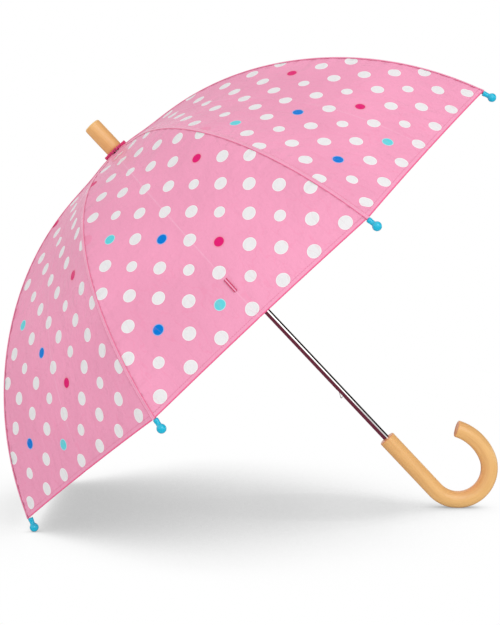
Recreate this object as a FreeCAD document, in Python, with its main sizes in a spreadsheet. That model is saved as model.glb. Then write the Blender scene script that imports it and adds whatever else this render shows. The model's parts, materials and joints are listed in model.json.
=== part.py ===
"""Children's stick umbrella, open: a curved wooden crook handle, a steel shaft, eight ribs and stretchers, a domed
fabric canopy in eight gores, ball tips and a turned wooden ferrule.

Frame: millimetres, +Z up the shaft towards the ferrule, origin on the shaft's axis in the middle of the straight grip.
The crook curls towards +X. The ribs stand at 22.5 degrees and every 45 degrees from there, counted from +X.

How it folds: each rib turns on the crown's ring wire, each stretcher turns on its rib's clip, and the runner hangs on
the stretchers' lower ends. The two ring wires have one radius and a stretcher is as long as the distance from the
crown's wire to the clip, so the runner's ring stays on the shaft's axis through the whole fold.
"""

import FreeCAD
import Part
import math
import os
import Sketcher
from FreeCAD import Placement, Rotation, Vector

RIBS = 8
FIRST_RIB_DEG = 22.5
PITCH_DEG = 360.0 / RIBS

# Every driving dimension: alias, value in mm or degrees, what it is.
DIMENSIONS = [
    ("shaft_radius", 4.0, "outside of the steel tube"),
    ("shaft_bore", 3.4, "inside of the steel tube"),
    ("shaft_bottom", -14.5, "lower end, inside the handle"),
    ("shaft_top", 560.0, "upper end, inside the ferrule"),
    ("handle_radius", 10.5, "wooden crook, half its thickness"),
    ("handle_top", 45.0, "height of the handle's upper end"),
    ("hook_start", -44.0, "height where the straight grip ends"),
    ("hook_radius", 39.0, "crook's first bend, at the middle of the wood"),
    ("hook_turn", 160.0, "degrees turned by the first bend"),
    ("hook_end_radius", 61.0, "crook's second, gentler bend"),
    ("hook_end_turn", 50.0, "degrees turned by the second bend"),
    ("handle_bore_depth", 60.0, "blind hole that takes the shaft"),
    ("handle_edge", 1.6, "rounding of the handle's two end edges"),
    ("glue_gap", 0.02, "radial gap of a glued or pressed joint"),
    ("ferrule_radius", 10.6, "turned wooden ferrule"),
    ("ferrule_bottom", 531.5, "height of the ferrule's lower face"),
    ("ferrule_length", 41.5, "ferrule, end to end"),
    ("ferrule_edge", 1.8, "rounding of the ferrule's free end"),
    ("washer_radius", 16.2, "pinked fabric washer under the ferrule"),
    ("washer_bottom", 529.0, "height of the washer's lower face"),
    ("washer_thickness", 2.4, "the washer's layers together"),
    ("washer_teeth", 36.0, "points round the pinked edge"),
    ("washer_tooth", 1.1, "depth of a pinked point"),
    ("pivot_radius", 8.0, "ring wires of the crown and the runner"),
    ("crown_pivot", 517.0, "height of the crown's ring wire"),
    ("wire_radius", 0.6, "both ring wires, half their thickness"),
    ("crown_radius", 11.0, "outside of the crown and the runner's flange"),
    ("crown_below", 6.0, "crown below its ring wire"),
    ("crown_above", 6.0, "crown above its ring wire"),
    ("slot_width", 2.6, "slots for the ribs and the stretchers"),
    ("slot_floor", 5.6, "radius of the slots' floors"),
    ("slot_reach", 2.4, "slots beyond the ring wire, on the closed side"),
    ("blade", 2.4, "thickness of rib eyes and stretcher eyes"),
    ("eye_radius", 1.9, "rounded ends that turn on wires and rivets"),
    ("eye_hole", 0.7, "hole for a ring wire"),
    ("rib_height", 2.4, "rib, across its open flute"),
    ("rib_start_deg", 95.8, "rib's direction at the crown, from straight down"),
    ("rib_inner_bend", 345.0, "bend radius from the crown to the flexing place"),
    ("rib_outer_bend", 385.0, "bend radius from the flexing place to the tip"),
    ("clip_at", 205.0, "clip's place along the rib, from the crown's wire"),
    ("flex_at", 210.0, "place just past the clip where the rib is split to let it straighten"),
    ("flex_gap", 0.6, "half the gap at the split"),
    ("rib_length", 475.0, "whole rib, along its bend"),
    ("flute_width", 1.2, "open flute of ribs and stretchers"),
    ("flute_depth", 1.4, "depth of that flute"),
    ("clip_drop", 4.2, "rivet below the middle of the rib"),
    ("clip_length", 7.0, "clip along the rib"),
    ("clip_wall", 0.6, "sheet that the clip is bent from"),
    ("rivet_radius", 0.8, "rivet through the clip"),
    ("rivet_gap", 0.08, "running gap between rivet and stretcher"),
    ("ball_radius", 5.0, "ball on each rib's end"),
    ("ball_at", 481.0, "ball's centre along the rib's bend"),
    ("neck_radius", 2.7, "sleeve of the ball tip"),
    ("neck_bore", 1.78, "hole of the sleeve, round the rib's corners"),
    ("neck_length", 11.5, "sleeve, from the ball's centre"),
    ("runner_bore", 4.25, "runner's running fit on the shaft"),
    ("runner_tube", 6.8, "outside of the runner's tube"),
    ("runner_length", 58.0, "runner below its ring wire"),
    ("runner_flange", 6.0, "flange below its ring wire"),
    ("runner_above", 2.5, "flange above its ring wire"),
    ("grip_radius", 9.6, "runner's flared finger grip"),
    ("grip_height", 12.0, "runner's finger grip"),
    ("catch_strip", 0.6, "thickness of a spring catch"),
    ("catch_width", 2.2, "width of a spring catch"),
    ("catch_arm", 34.0, "catch from its foot to its nose"),
    ("catch_nose", 9.0, "length of the nose along the shaft"),
    ("catch_out", 3.2, "how far a nose stands out of the shaft"),
    ("catch_gap", 0.6, "gap between a catch and the runner it stops"),
    ("pin_radius", 0.9, "crown pin and stop pin"),
    ("fabric_gap", 0.5, "between the rib's back and the fabric"),
    ("fabric", 0.6, "fabric, with its seams and coating"),
    ("gore_start", 11.0, "where a gore begins along its rib"),
    ("gore_end", 469.0, "where a gore ends along its rib"),
    ("hem_scallop", 26.0, "hem's rise between two ribs"),
    ("panel_sag", 4.0, "extra hollow in the middle of a panel"),
    ("crease_gap", 0.4, "between two neighbouring gores"),
    ("strap_length", 78.0, "closing strap, doubled on itself"),
    ("strap_width", 15.0, "closing strap"),
    ("strap_thickness", 1.2, "both layers of the strap"),
    ("strap_at", 350.0, "strap's middle, along the crease"),
    ("strap_depth", 3.0, "strap below the fabric, at its middle"),
    ("tab_length", 14.0, "stitched tab that anchors the strap"),
    ("tab_width", 4.0, "stitched tab"),
    ("tab_height", 1.0, "stitched tab, its thickness"),
    ("tab_at", 387.0, "tab's middle, along the crease"),
    ("pad_length", 22.0, "hook pad and loop pad"),
    ("pad_thickness", 0.8, "hook pad and loop pad"),
    ("fold_deg", 73.0, "turn of a rib from open to folded"),
    ("straighten_deg", 32.0, "how far the outer part of a rib straightens while it folds"),
]

doc = FreeCAD.newDocument("umbrella")
sheet = doc.addObject("Spreadsheet::Sheet", "dims")
for row, (alias, value, note) in enumerate(DIMENSIONS, start=1):
    sheet.set(f"A{row}", note)
    sheet.set(f"B{row}", str(value))
    sheet.setAlias(f"B{row}", alias)
doc.recompute()


def dim(alias):
    """A driving dimension, read from the sheet."""
    return float(getattr(sheet, alias))


# --- The rib's bend, in its own upright plane: x outwards from the shaft's axis, z up -----------------------------


def rib_angle(s):
    """Direction of the rib at the length s from the crown's wire, in radians from straight down."""
    inner = min(s, dim("flex_at")) / dim("rib_inner_bend")
    outer = max(s - dim("flex_at"), 0.0) / dim("rib_outer_bend")
    return math.radians(dim("rib_start_deg")) - inner - outer


def rib_point(s, rise=0.0):
    """Point of the rib's middle line at the length s, moved outwards by rise, as (x, z)."""
    x, z = dim("pivot_radius"), dim("crown_pivot")
    start, joint, here = rib_angle(0.0), rib_angle(min(s, dim("flex_at"))), rib_angle(s)
    x += dim("rib_inner_bend") * (math.cos(joint) - math.cos(start))
    z += dim("rib_inner_bend") * (math.sin(joint) - math.sin(start))
    x += dim("rib_outer_bend") * (math.cos(here) - math.cos(joint))
    z += dim("rib_outer_bend") * (math.sin(here) - math.sin(joint))
    return x + rise * math.cos(here), z + rise * math.sin(here)


CLIP_X, CLIP_Z = rib_point(dim("clip_at"), -dim("clip_drop"))
STRETCHER = math.hypot(CLIP_X - dim("pivot_radius"), dim("crown_pivot") - CLIP_Z)
OPEN_ANGLE = math.atan2(CLIP_X - dim("pivot_radius"), dim("crown_pivot") - CLIP_Z)
FOLDED_ANGLE = OPEN_ANGLE - math.radians(dim("fold_deg"))
RUNNER_OPEN = dim("crown_pivot") - 2 * STRETCHER * math.cos(OPEN_ANGLE)
RUNNER_FOLDED = dim("crown_pivot") - 2 * STRETCHER * math.cos(FOLDED_ANGLE)


def rib_azimuth(n):
    """Where rib n stands round the shaft, in degrees from +X."""
    return FIRST_RIB_DEG + PITCH_DEG * (n - 1)


def in_rib_plane(n, x, z, lean_deg=0.0):
    """Placement that puts a piece's origin at (x, z) in rib n's plane, with its Z axis leant outwards from up."""
    turn = Rotation(Vector(0, 0, 1), rib_azimuth(n))
    lean = Rotation(Vector(0, 1, 0), lean_deg)
    return Placement(turn.multVec(Vector(x, 0, z)), turn.multiply(lean))


# --- Small helpers for FreeCAD's own objects ------------------------------------------------------------------------


def bind(thing, **sizes):
    """Ties properties of thing to expressions on the sheet."""
    for name, expression in sizes.items():
        thing.setExpression(name.replace("__", "."), str(expression))


def primitive(kind, name, place=None, **sizes):
    """A Part primitive whose sizes follow the sheet."""
    made = doc.addObject("Part::" + kind, name)
    bind(made, **sizes)
    if place is not None:
        made.Placement = place
    return made


def fused(name, *shapes):
    made = doc.addObject("Part::MultiFuse", name)
    made.Shapes = list(shapes)
    return made


def cut(name, base, tool):
    made = doc.addObject("Part::Cut", name)
    made.Base, made.Tool = base, tool
    return made


def body(name):
    made = doc.addObject("PartDesign::Body", name)
    made.Label = name
    return made


def sketch_on(owner, plane, name, offset=None):
    """A sketch on one of the body's own origin planes."""
    made = owner.newObject("Sketcher::SketchObject", name)
    found = next(f for f in owner.Origin.OriginFeatures if f.Role == plane)
    made.AttachmentSupport = [(found, "")]
    made.MapMode = "FlatFace"
    if offset is not None:
        made.AttachmentOffset = Placement(offset, Rotation())
    return made


def add_circle(sketch, radius, x=0.0, y=0.0):
    """A circle whose radius follows an expression and whose centre stays at (x, y)."""
    n = sketch.addGeometry(Part.Circle(Vector(x, y, 0), Vector(0, 0, 1), 1.0), False)
    c = sketch.addConstraint(Sketcher.Constraint("Radius", n, 1.0))
    sketch.setExpression(f"Constraints[{c}]", str(radius))
    if x == 0.0 and y == 0.0:
        sketch.addConstraint(Sketcher.Constraint("Coincident", n, 3, -1, 1))
    return n


def add_outline(sketch, corners):
    """A closed polygon whose corners each follow a pair of expressions on the sheet."""
    points = [Vector(float(i), float(i * i) + 1.0, 0) for i in range(len(corners))]
    first = sketch.GeometryCount
    for i, p in enumerate(points):
        sketch.addGeometry(Part.LineSegment(p, points[(i + 1) % len(points)]), False)
    for i, (x, y) in enumerate(corners):
        after = first + (i + 1) % len(corners)
        sketch.addConstraint(Sketcher.Constraint("Coincident", first + i, 2, after, 1))
        for kind, expression in (("DistanceX", x), ("DistanceY", y)):
            start = points[i].x if kind == "DistanceX" else points[i].y
            c = sketch.addConstraint(Sketcher.Constraint(kind, -1, 1, first + i, 1, start))
            sketch.setExpression(f"Constraints[{c}]", str(expression))


def pad(owner, sketch, name, length, midplane=False, back=False):
    made = owner.newObject("PartDesign::Pad", name)
    made.Profile = sketch
    bind(made, Length=length)
    made.Midplane, made.Reversed = midplane, back
    return made


def pocket(owner, sketch, name, length, midplane=False, back=False):
    made = owner.newObject("PartDesign::Pocket", name)
    made.Profile = sketch
    bind(made, Length=length)
    made.Midplane, made.Reversed = midplane, back
    return made


def revolved(owner, sketch, name):
    """A full turn of the sketch about the body's Z axis."""
    made = owner.newObject("PartDesign::Revolution", name)
    made.Profile = sketch
    made.ReferenceAxis = (sketch, ["V_Axis"])
    made.Angle = 360.0
    return made


def round_pattern(owner, feature, name, count):
    made = owner.newObject("PartDesign::PolarPattern", name)
    made.Originals = [feature]
    z_axis = next(f for f in owner.Origin.OriginFeatures if f.Role == "Z_Axis")
    made.Axis = (z_axis, [""])
    made.Angle = 360.0
    made.Occurrences = count
    owner.Tip = made
    return made


def round_edges(owner, name, radius, keep):
    """Rounds the edges of the body's tip for which keep(edge) is true."""
    doc.recompute()
    tip = owner.Tip
    found = [f"Edge{i}" for i, e in enumerate(tip.Shape.Edges, start=1) if keep(e)]
    made = owner.newObject("PartDesign::Fillet", name)
    made.Base = (tip, found)
    bind(made, Radius=radius)
    return made


def solid_feature(name, shape, place=None):
    """A sub-part whose shape is worked out with Part's own functions."""
    made = doc.addObject("Part::Feature", name)
    made.Label = name
    made.Shape = shape
    if place is not None:
        made.Placement = place
    return made


def is_ring(edge, radius):
    return edge.Curve.TypeId == "Part::GeomCircle" and abs(edge.Curve.Radius - radius) < 0.01


# --- Handle, shaft, ferrule and what sits on the shaft's axis ------------------------------------------------------


def make_handle():
    """Steam-bent wooden crook: a straight grip, a round bend and a gentler one, with a blind hole for the shaft."""
    made = body("handle")
    section = sketch_on(made, "XY_Plane", "handle_section", Vector(0, 0, dim("handle_top")))
    add_circle(section, "dims.handle_radius")
    bend, loose = dim("hook_radius"), dim("hook_end_radius")
    turn, end_turn = math.radians(dim("hook_turn")), math.radians(dim("hook_end_turn"))
    centre = Vector(bend, dim("hook_start"), 0)
    joint = centre + Vector(math.cos(math.pi + turn), math.sin(math.pi + turn), 0) * bend
    centre_2 = joint + (centre - joint) * (loose / bend)
    path = sketch_on(made, "XZ_Plane", "handle_path")
    path.addGeometry(Part.LineSegment(Vector(0, dim("handle_top"), 0), Vector(0, dim("hook_start"), 0)))
    up = Vector(0, 0, 1)
    path.addGeometry(Part.ArcOfCircle(Part.Circle(centre, up, bend), math.pi, math.pi + turn))
    path.addGeometry(
        Part.ArcOfCircle(Part.Circle(centre_2, up, loose), math.pi + turn, math.pi + turn + end_turn)
    )
    pipe = made.newObject("PartDesign::AdditivePipe", "handle_bend")
    pipe.Profile = section
    pipe.Spine = (path, ["Edge1", "Edge2", "Edge3"])
    round_edges(made, "handle_ends", "dims.handle_edge", lambda e: is_ring(e, dim("handle_radius"))
                and e.isClosed() and end_of_handle(e))
    bore = sketch_on(made, "XY_Plane", "handle_bore_ring", Vector(0, 0, dim("handle_top")))
    add_circle(bore, "dims.shaft_radius + dims.glue_gap")
    pocket(made, bore, "handle_bore", "dims.handle_bore_depth")
    return made


def end_of_handle(edge):
    """True for the circle at the handle's top or at the crook's free end."""
    centre = edge.Curve.Center
    at_top = abs(centre.z - dim("handle_top")) < 0.01
    return at_top or (centre.x > dim("hook_radius") / 2 and centre.z > dim("hook_start") + 1)


def make_shaft():
    """Steel tube with two slots for the spring catches and cross holes for the crown pin and the stop pin."""
    length = "dims.shaft_top - dims.shaft_bottom"
    outside = primitive("Cylinder", "shaft_outside", Radius="dims.shaft_radius", Height=length,
                        Placement__Base__z="dims.shaft_bottom")
    inside = primitive("Cylinder", "shaft_inside", Radius="dims.shaft_bore", Height=length,
                       Placement__Base__z="dims.shaft_bottom")
    tools = [inside]
    for label, low, high in (
        ("top_slot", TOP_NOSE - dim("catch_nose") - 2, TOP_NOSE + 1.5),
        ("bottom_slot", BOTTOM_NOSE - 1.5, BOTTOM_NOSE + dim("catch_nose") + 2),
    ):
        slot = primitive("Box", label, Length="dims.shaft_radius", Width="dims.catch_width + 0.5")
        slot.Height = high - low
        slot.Placement.Base = Vector(-dim("shaft_radius") - 0.5, -dim("catch_width") / 2 - 0.25, low)
        tools.append(slot)
    for label, height, turn_deg in (("crown_pin_hole", CROWN_PIN, FIRST_RIB_DEG), ("stop_pin_hole", STOP_PIN, 0.0)):
        hole = primitive("Cylinder", label, Radius="dims.pin_radius + dims.glue_gap", Height="6 * dims.shaft_radius")
        hole.Placement = across(height, 3 * dim("shaft_radius"), turn_deg)
        tools.append(hole)
    made = cut("shaft", outside, fused("shaft_holes", *tools))
    made.Label = "shaft"
    return made


def across(height, half, turn_deg):
    """Placement of a cylinder that lies across the shaft's axis, turn_deg round from Y, from -half."""
    turn = Rotation(Vector(0, 0, 1), turn_deg)
    start = turn.multVec(Vector(0, -half, 0)) + Vector(0, 0, height)
    return Placement(start, turn.multiply(Rotation(Vector(1, 0, 0), -90)))


def make_pin(name, height, half, turn_deg):
    made = primitive("Cylinder", name, across(height, half, turn_deg), Radius="dims.pin_radius")
    made.Height = 2 * half
    made.Label = name
    return made


def make_ferrule():
    """Turned wooden spike cover with a rounded free end and a blind hole for the shaft."""
    made = body("ferrule")
    ring = sketch_on(made, "XY_Plane", "ferrule_ring")
    add_circle(ring, "dims.ferrule_radius")
    pad(made, ring, "ferrule_turned", "dims.ferrule_length")
    round_edges(made, "ferrule_end", "dims.ferrule_edge",
                lambda e: is_ring(e, dim("ferrule_radius")) and e.Curve.Center.z > 1)
    bore = sketch_on(made, "XY_Plane", "ferrule_bore_ring")
    add_circle(bore, "dims.shaft_radius + dims.glue_gap")
    pocket(made, bore, "ferrule_bore", "dims.shaft_top - dims.ferrule_bottom + 0.5", back=True)
    made.Placement.Base = Vector(0, 0, dim("ferrule_bottom"))
    return made


def make_washer():
    """Stack of pink fabric discs with pinked, saw-tooth edges, between the ferrule and the canopy."""
    teeth = int(dim("washer_teeth"))
    corners = []
    for i in range(2 * teeth):
        radius = dim("washer_radius") - (dim("washer_tooth") if i % 2 else 0.0)
        angle = math.pi * i / teeth
        corners.append(Vector(radius * math.cos(angle), radius * math.sin(angle), 0))
    face = Part.Face(Part.makePolygon(corners + corners[:1]))
    disc = face.extrude(Vector(0, 0, dim("washer_thickness")))
    hole = Part.makeCylinder(dim("shaft_radius") + dim("glue_gap"), dim("washer_thickness"))
    place = Placement(Vector(0, 0, dim("washer_bottom")), Rotation())
    return solid_feature("pinked_washer", disc.cut(hole), place)


def make_apex():
    """Gathered points of the canopy's panels, tied round the shaft on top of the crown."""
    made = body("canopy_apex")
    outline = sketch_on(made, "XZ_Plane", "canopy_apex_outline")
    hole = "dims.shaft_radius + dims.glue_gap"
    top = "dims.crown_pivot + dims.crown_above"
    add_outline(outline, [
        (hole, f"{top} + 0.1"),
        ("dims.crown_radius", f"{top} + 0.1"),
        ("dims.crown_radius + 7.3", f"{top} - 1.6"),
        ("dims.crown_radius + 7.3", f"{top} - 0.6"),
        ("dims.washer_radius", f"{top} + 3.6"),
        (hole, "dims.washer_bottom - 0.1"),
    ])
    revolved(made, outline, "canopy_apex_turn")
    return made


def slotted_head(made, name, slot_low, slot_high):
    """Cuts eight radial slots, and the groove for a ring wire, in a turned head whose ring wire lies at z = 0."""
    tooth = sketch_on(made, "XY_Plane", name + "_slot_outline")
    half = "dims.slot_width / 2"
    add_outline(tooth, [
        ("dims.slot_floor", f"-({half})"),
        ("dims.crown_radius + 2", f"-({half})"),
        ("dims.crown_radius + 2", half),
        ("dims.slot_floor", half),
    ])
    bind(tooth, AttachmentOffset__Base__z=slot_low)
    slot = pocket(made, tooth, name + "_slot", f"({slot_high}) - ({slot_low})", back=True)
    round_pattern(made, slot, name + "_slots", RIBS)
    groove = sketch_on(made, "XZ_Plane", name + "_groove_outline")
    deep = "dims.pivot_radius - dims.wire_radius - 0.1"
    gap = "(dims.wire_radius + 0.05)"
    add_outline(groove, [
        (deep, f"-{gap}"),
        ("dims.crown_radius + 1", f"-{gap}"),
        ("dims.crown_radius + 1", gap),
        (deep, gap),
    ])
    cutting = made.newObject("PartDesign::Groove", name + "_groove")
    cutting.Profile = groove
    cutting.ReferenceAxis = (groove, ["V_Axis"])
    cutting.Angle = 360.0
    made.Tip = cutting


def make_crown():
    """Moulded top notch, fixed on the shaft: the ribs' inner ends turn in its slots on a ring wire."""
    made = body("crown")
    outline = sketch_on(made, "XZ_Plane", "crown_outline")
    bore = "dims.shaft_radius + dims.glue_gap"
    add_outline(outline, [
        (bore, "-dims.crown_below"),
        ("dims.crown_radius - 1", "-dims.crown_below"),
        ("dims.crown_radius", "1 - dims.crown_below"),
        ("dims.crown_radius", "dims.crown_above - 1.5"),
        ("dims.crown_radius - 1.5", "dims.crown_above"),
        (bore, "dims.crown_above"),
    ])
    revolved(made, outline, "crown_turned")
    slotted_head(made, "crown", "-dims.crown_below - 1", "dims.slot_reach")
    hole = sketch_on(made, "XZ_Plane", "crown_pin_ring")
    add_circle(hole, "dims.pin_radius + dims.glue_gap", 0.0, CROWN_PIN - dim("crown_pivot"))
    pocket(made, hole, "crown_pin_bore", "4 * dims.crown_radius", midplane=True)
    made.Placement.Base = Vector(0, 0, dim("crown_pivot"))
    turn_to_ribs(made)
    return made


def turn_to_ribs(made):
    """Turns a slotted head so that its slots face the ribs."""
    made.Placement.Rotation = Rotation(Vector(0, 0, 1), FIRST_RIB_DEG)


def make_runner():
    """Moulded slider: a slotted flange for the stretchers, a long tube and a flared finger grip."""
    made = body("runner")
    outline = sketch_on(made, "XZ_Plane", "runner_outline")
    add_outline(outline, [
        ("dims.runner_bore", "-dims.runner_length"),
        ("dims.grip_radius - 1", "-dims.runner_length"),
        ("dims.grip_radius", "1 - dims.runner_length"),
        ("dims.grip_radius", "3 - dims.runner_length"),
        ("dims.runner_tube + 0.8", "dims.grip_height - dims.runner_length - 3"),
        ("dims.runner_tube", "dims.grip_height - dims.runner_length"),
        ("dims.runner_tube", "-dims.runner_flange - 3"),
        ("dims.crown_radius", "-dims.runner_flange"),
        ("dims.crown_radius", "dims.runner_above"),
        ("dims.runner_bore", "dims.runner_above"),
    ])
    revolved(made, outline, "runner_turned")
    slotted_head(made, "runner", "-dims.slot_reach", "dims.runner_above + 1")
    made.Placement.Base = Vector(0, 0, RUNNER_OPEN)
    turn_to_ribs(made)
    return made


def make_ring_wire(name, height):
    """Closed ring of spring wire that every rib or stretcher eye turns on."""
    made = primitive("Torus", name, Radius1="dims.pivot_radius", Radius2="dims.wire_radius")
    made.Placement.Base = Vector(0, 0, height)
    made.Label = name
    return made


def make_catch(name, nose_height, points_up):
    """Flat spring inside the tube whose nose stands out through a slot and stops the runner with its square side.

    The piece lies in the XZ plane. Heights run away from the nose's square side, towards the foot.
    """
    wall = -dim("shaft_bore") + 0.3
    strip, out = dim("catch_strip"), -dim("shaft_radius") - dim("catch_out")
    nose, arm, free = dim("catch_nose"), dim("catch_arm"), 3.5
    side = [
        (wall, -free),
        (wall, 0.0),
        (out, 0.0),
        (out, 1.2),
        (wall, nose),
        (wall, arm),
        (-wall, arm),
        (-wall, arm - strip),
        (wall + strip, arm - strip),
        (wall + strip, nose + 0.3),
        (out + 1.2, 1.5),
        (out + 1.2, strip),
        (wall + strip, strip),
        (wall + strip, -free),
    ]
    away = -1.0 if points_up else 1.0
    corners = [Vector(x, -dim("catch_width") / 2, nose_height + away * h) for x, h in side]
    face = Part.Face(Part.makePolygon(corners + corners[:1]))
    return solid_feature(name, face.extrude(Vector(0, dim("catch_width"), 0)))


# --- Ribs, clips, stretchers and tips ---------------------------------------------------------------------------------


def swept_arc(section, centre, turn_deg):
    """Turns a wire in a rib's plane about a bend's centre, whose axis runs along Y."""
    return Part.Face(section).revolve(Vector(centre[0], 0, centre[1]), Vector(0, 1, 0), turn_deg)


def fluted_section(x, z, lean):
    """Section of a rib at (x, z): a square bar with an open flute on its inner side, as a wire."""
    half, top = dim("blade") / 2, dim("rib_height") / 2
    mouth, floor = dim("flute_width") / 2, dim("flute_depth") - dim("rib_height") / 2
    side = [(-half, -top), (-half, top), (half, top), (half, -top),
            (mouth, -top), (mouth, floor), (-mouth, floor), (-mouth, -top)]
    out = Vector(math.cos(lean), 0, math.sin(lean))
    corners = [Vector(x, y, z) + out * rise for y, rise in side]
    return Part.makePolygon(corners + corners[:1])


def fluted_arc(low, high):
    """The rib from the length low to the length high, which lie on one side of the flexing place."""
    bend = dim("rib_inner_bend") if high <= dim("flex_at") else dim("rib_outer_bend")
    x, z = rib_point(low)
    lean = rib_angle(low)
    centre = (x - bend * math.cos(lean), z - bend * math.sin(lean))
    return swept_arc(fluted_section(x, z, lean), centre, math.degrees((high - low) / bend))


def make_inner_rib(n):
    """Fluted steel rib from the crown's wire to just past its clip, with a flat eye and a riveted clip."""
    start = dim("eye_radius") + 0.6
    x, z = rib_point(0.0)
    half = dim("blade") / 2
    along = Rotation(Vector(1, 0, 0), 90)
    eye = Part.makeCylinder(dim("eye_radius"), 2 * half)
    eye.Placement = Placement(Vector(x, half, z), along)
    neck = Part.makeBox(start + 0.5, 2 * half, dim("rib_height"), Vector(0, -half, -dim("rib_height") / 2))
    neck.Placement = Placement(Vector(x, 0, z), Rotation(Vector(0, 1, 0), 90 - dim("rib_start_deg")))
    hole = Part.makeCylinder(dim("eye_hole"), 4 * half)
    hole.Placement = Placement(Vector(x, 2 * half, z), along)
    bar = fluted_arc(start, dim("flex_at") - dim("flex_gap"))
    clip = make_clip()
    clip_x, clip_z = rib_point(dim("clip_at"))
    clip.Placement = in_rib_plane_flat(clip_x, clip_z, 90 - math.degrees(rib_angle(dim("clip_at"))))
    shape = eye.fuse([neck, bar, clip]).removeSplitter().cut(hole)
    return solid_feature(f"rib_inner_{n}", shape, in_rib_plane(n, 0, 0))


def make_outer_rib(n):
    """The rest of the rib, from just past the clip to the tip."""
    shape = fluted_arc(dim("flex_at") + dim("flex_gap"), dim("rib_length"))
    return solid_feature(f"rib_outer_{n}", shape, in_rib_plane(n, 0, 0))


def in_rib_plane_flat(x, z, lean_deg):
    """As in_rib_plane, for a piece that is still being drawn in the XZ plane."""
    return Placement(Vector(x, 0, z), Rotation(Vector(0, 1, 0), lean_deg))


def make_clip():
    """Bent steel saddle round the rib, with two ears below it and the rivet that the stretcher turns on."""
    inner = dim("blade") / 2
    wide = inner + dim("clip_wall")
    top, low = dim("rib_height") / 2 + dim("clip_wall"), -dim("clip_drop") - dim("eye_radius")
    length = dim("clip_length")
    saddle = Part.makeBox(length, 2 * wide, top - low, Vector(-length / 2, -wide, low))
    between = Part.makeBox(length + 2, 2 * inner + 0.2, -dim("rib_height") / 2 - low + 1,
                           Vector(-length / 2 - 1, -inner - 0.1, low - 1))
    along = Rotation(Vector(1, 0, 0), 90)
    rivet = Part.makeCylinder(dim("rivet_radius"), 2 * wide)
    rivet.Placement = Placement(Vector(0, wide, -dim("clip_drop")), along)
    heads = []
    for y in (wide + 0.5, -wide):
        head = Part.makeCylinder(dim("rivet_radius") + 0.6, 0.5)
        head.Placement = Placement(Vector(0, y, -dim("clip_drop")), along)
        heads.append(head)
    return saddle.cut(between).fuse([rivet] + heads)


def make_stretcher(n):
    """Fluted strut from the runner's wire to the rib's clip, drawn along +X from the runner's end."""
    made = body(f"stretcher_{n}")
    plate = sketch_on(made, "XZ_Plane", f"stretcher_{n}_bar")
    reach = 6.0
    half = "dims.rib_height / 2"
    add_outline(plate, [
        ("0", f"-({half})"),
        (f"{STRETCHER}", f"-({half})"),
        (f"{STRETCHER}", half),
        ("0", half),
    ])
    pad(made, plate, f"stretcher_{n}_web", "dims.blade", midplane=True)
    for end, x in (("runner", 0.0), ("rib", STRETCHER)):
        ring = sketch_on(made, "XZ_Plane", f"stretcher_{n}_{end}_ring")
        add_circle(ring, "dims.eye_radius", x, 0.0)
        pad(made, ring, f"stretcher_{n}_{end}_eye", "dims.blade", midplane=True)
    for end, x, size in (("runner", 0.0, "dims.eye_hole"), ("rib", STRETCHER, "dims.rivet_radius + dims.rivet_gap")):
        ring = sketch_on(made, "XZ_Plane", f"stretcher_{n}_{end}_hole_ring")
        add_circle(ring, size, x, 0.0)
        pocket(made, ring, f"stretcher_{n}_{end}_hole", "3 * dims.blade", midplane=True)
    flute = sketch_on(made, "XY_Plane", f"stretcher_{n}_flute_outline")
    mouth = "dims.flute_width / 2"
    add_outline(flute, [
        (f"{reach}", f"-({mouth})"),
        (f"{STRETCHER - reach}", f"-({mouth})"),
        (f"{STRETCHER - reach}", mouth),
        (f"{reach}", mouth),
    ])
    bind(flute, AttachmentOffset__Base__z="dims.rib_height / 2 - dims.flute_depth")
    pocket(made, flute, f"stretcher_{n}_flute", "dims.flute_depth + 1", back=True)
    lean = Rotation(Vector(0, 1, 0), math.degrees(OPEN_ANGLE) - 90)
    turn = Rotation(Vector(0, 0, 1), rib_azimuth(n))
    made.Placement = Placement(turn.multVec(Vector(dim("pivot_radius"), 0, RUNNER_OPEN)), turn.multiply(lean))
    return made


def make_tip(n):
    """Moulded ball on a short sleeve that is pushed over the rib's end. It is drawn with its ball at the origin."""
    sleeve = primitive("Cylinder", f"tip_{n}_sleeve", Radius="dims.neck_radius", Height="dims.neck_length")
    ball = primitive("Sphere", f"tip_{n}_ball", Radius="dims.ball_radius")
    bore = primitive("Cylinder", f"tip_{n}_bore", Radius="dims.neck_bore", Height="dims.neck_length")
    bore.Placement.Base = Vector(0, 0, dim("ball_at") - dim("rib_length") - 0.5)
    made = cut(f"tip_{n}", fused(f"tip_{n}_moulded", sleeve, ball), bore)
    made.Label = f"tip_{n}"
    x, z = rib_point(dim("ball_at"))
    inwards = -math.degrees(rib_angle(dim("rib_length")))
    made.Placement = in_rib_plane(n, x, z, inwards)
    return made


# --- Canopy and strap ----------------------------------------------------------------------------------------------------


def crease_point(s, rise=0.0):
    """Foot of the crease in a rib's plane: where the panel's middle lies across from the rib's point s."""
    x, _ = rib_point(s)
    flat = 1.0 - math.cos(math.radians(PITCH_DEG / 2)) ** 2
    share = max(0.0, min(1.0, s / dim("gore_end")))
    depth = flat * x * math.cos(rib_angle(s)) + dim("panel_sag") * math.sin(math.pi * share)
    return rib_point(s, rise - depth)


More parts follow.
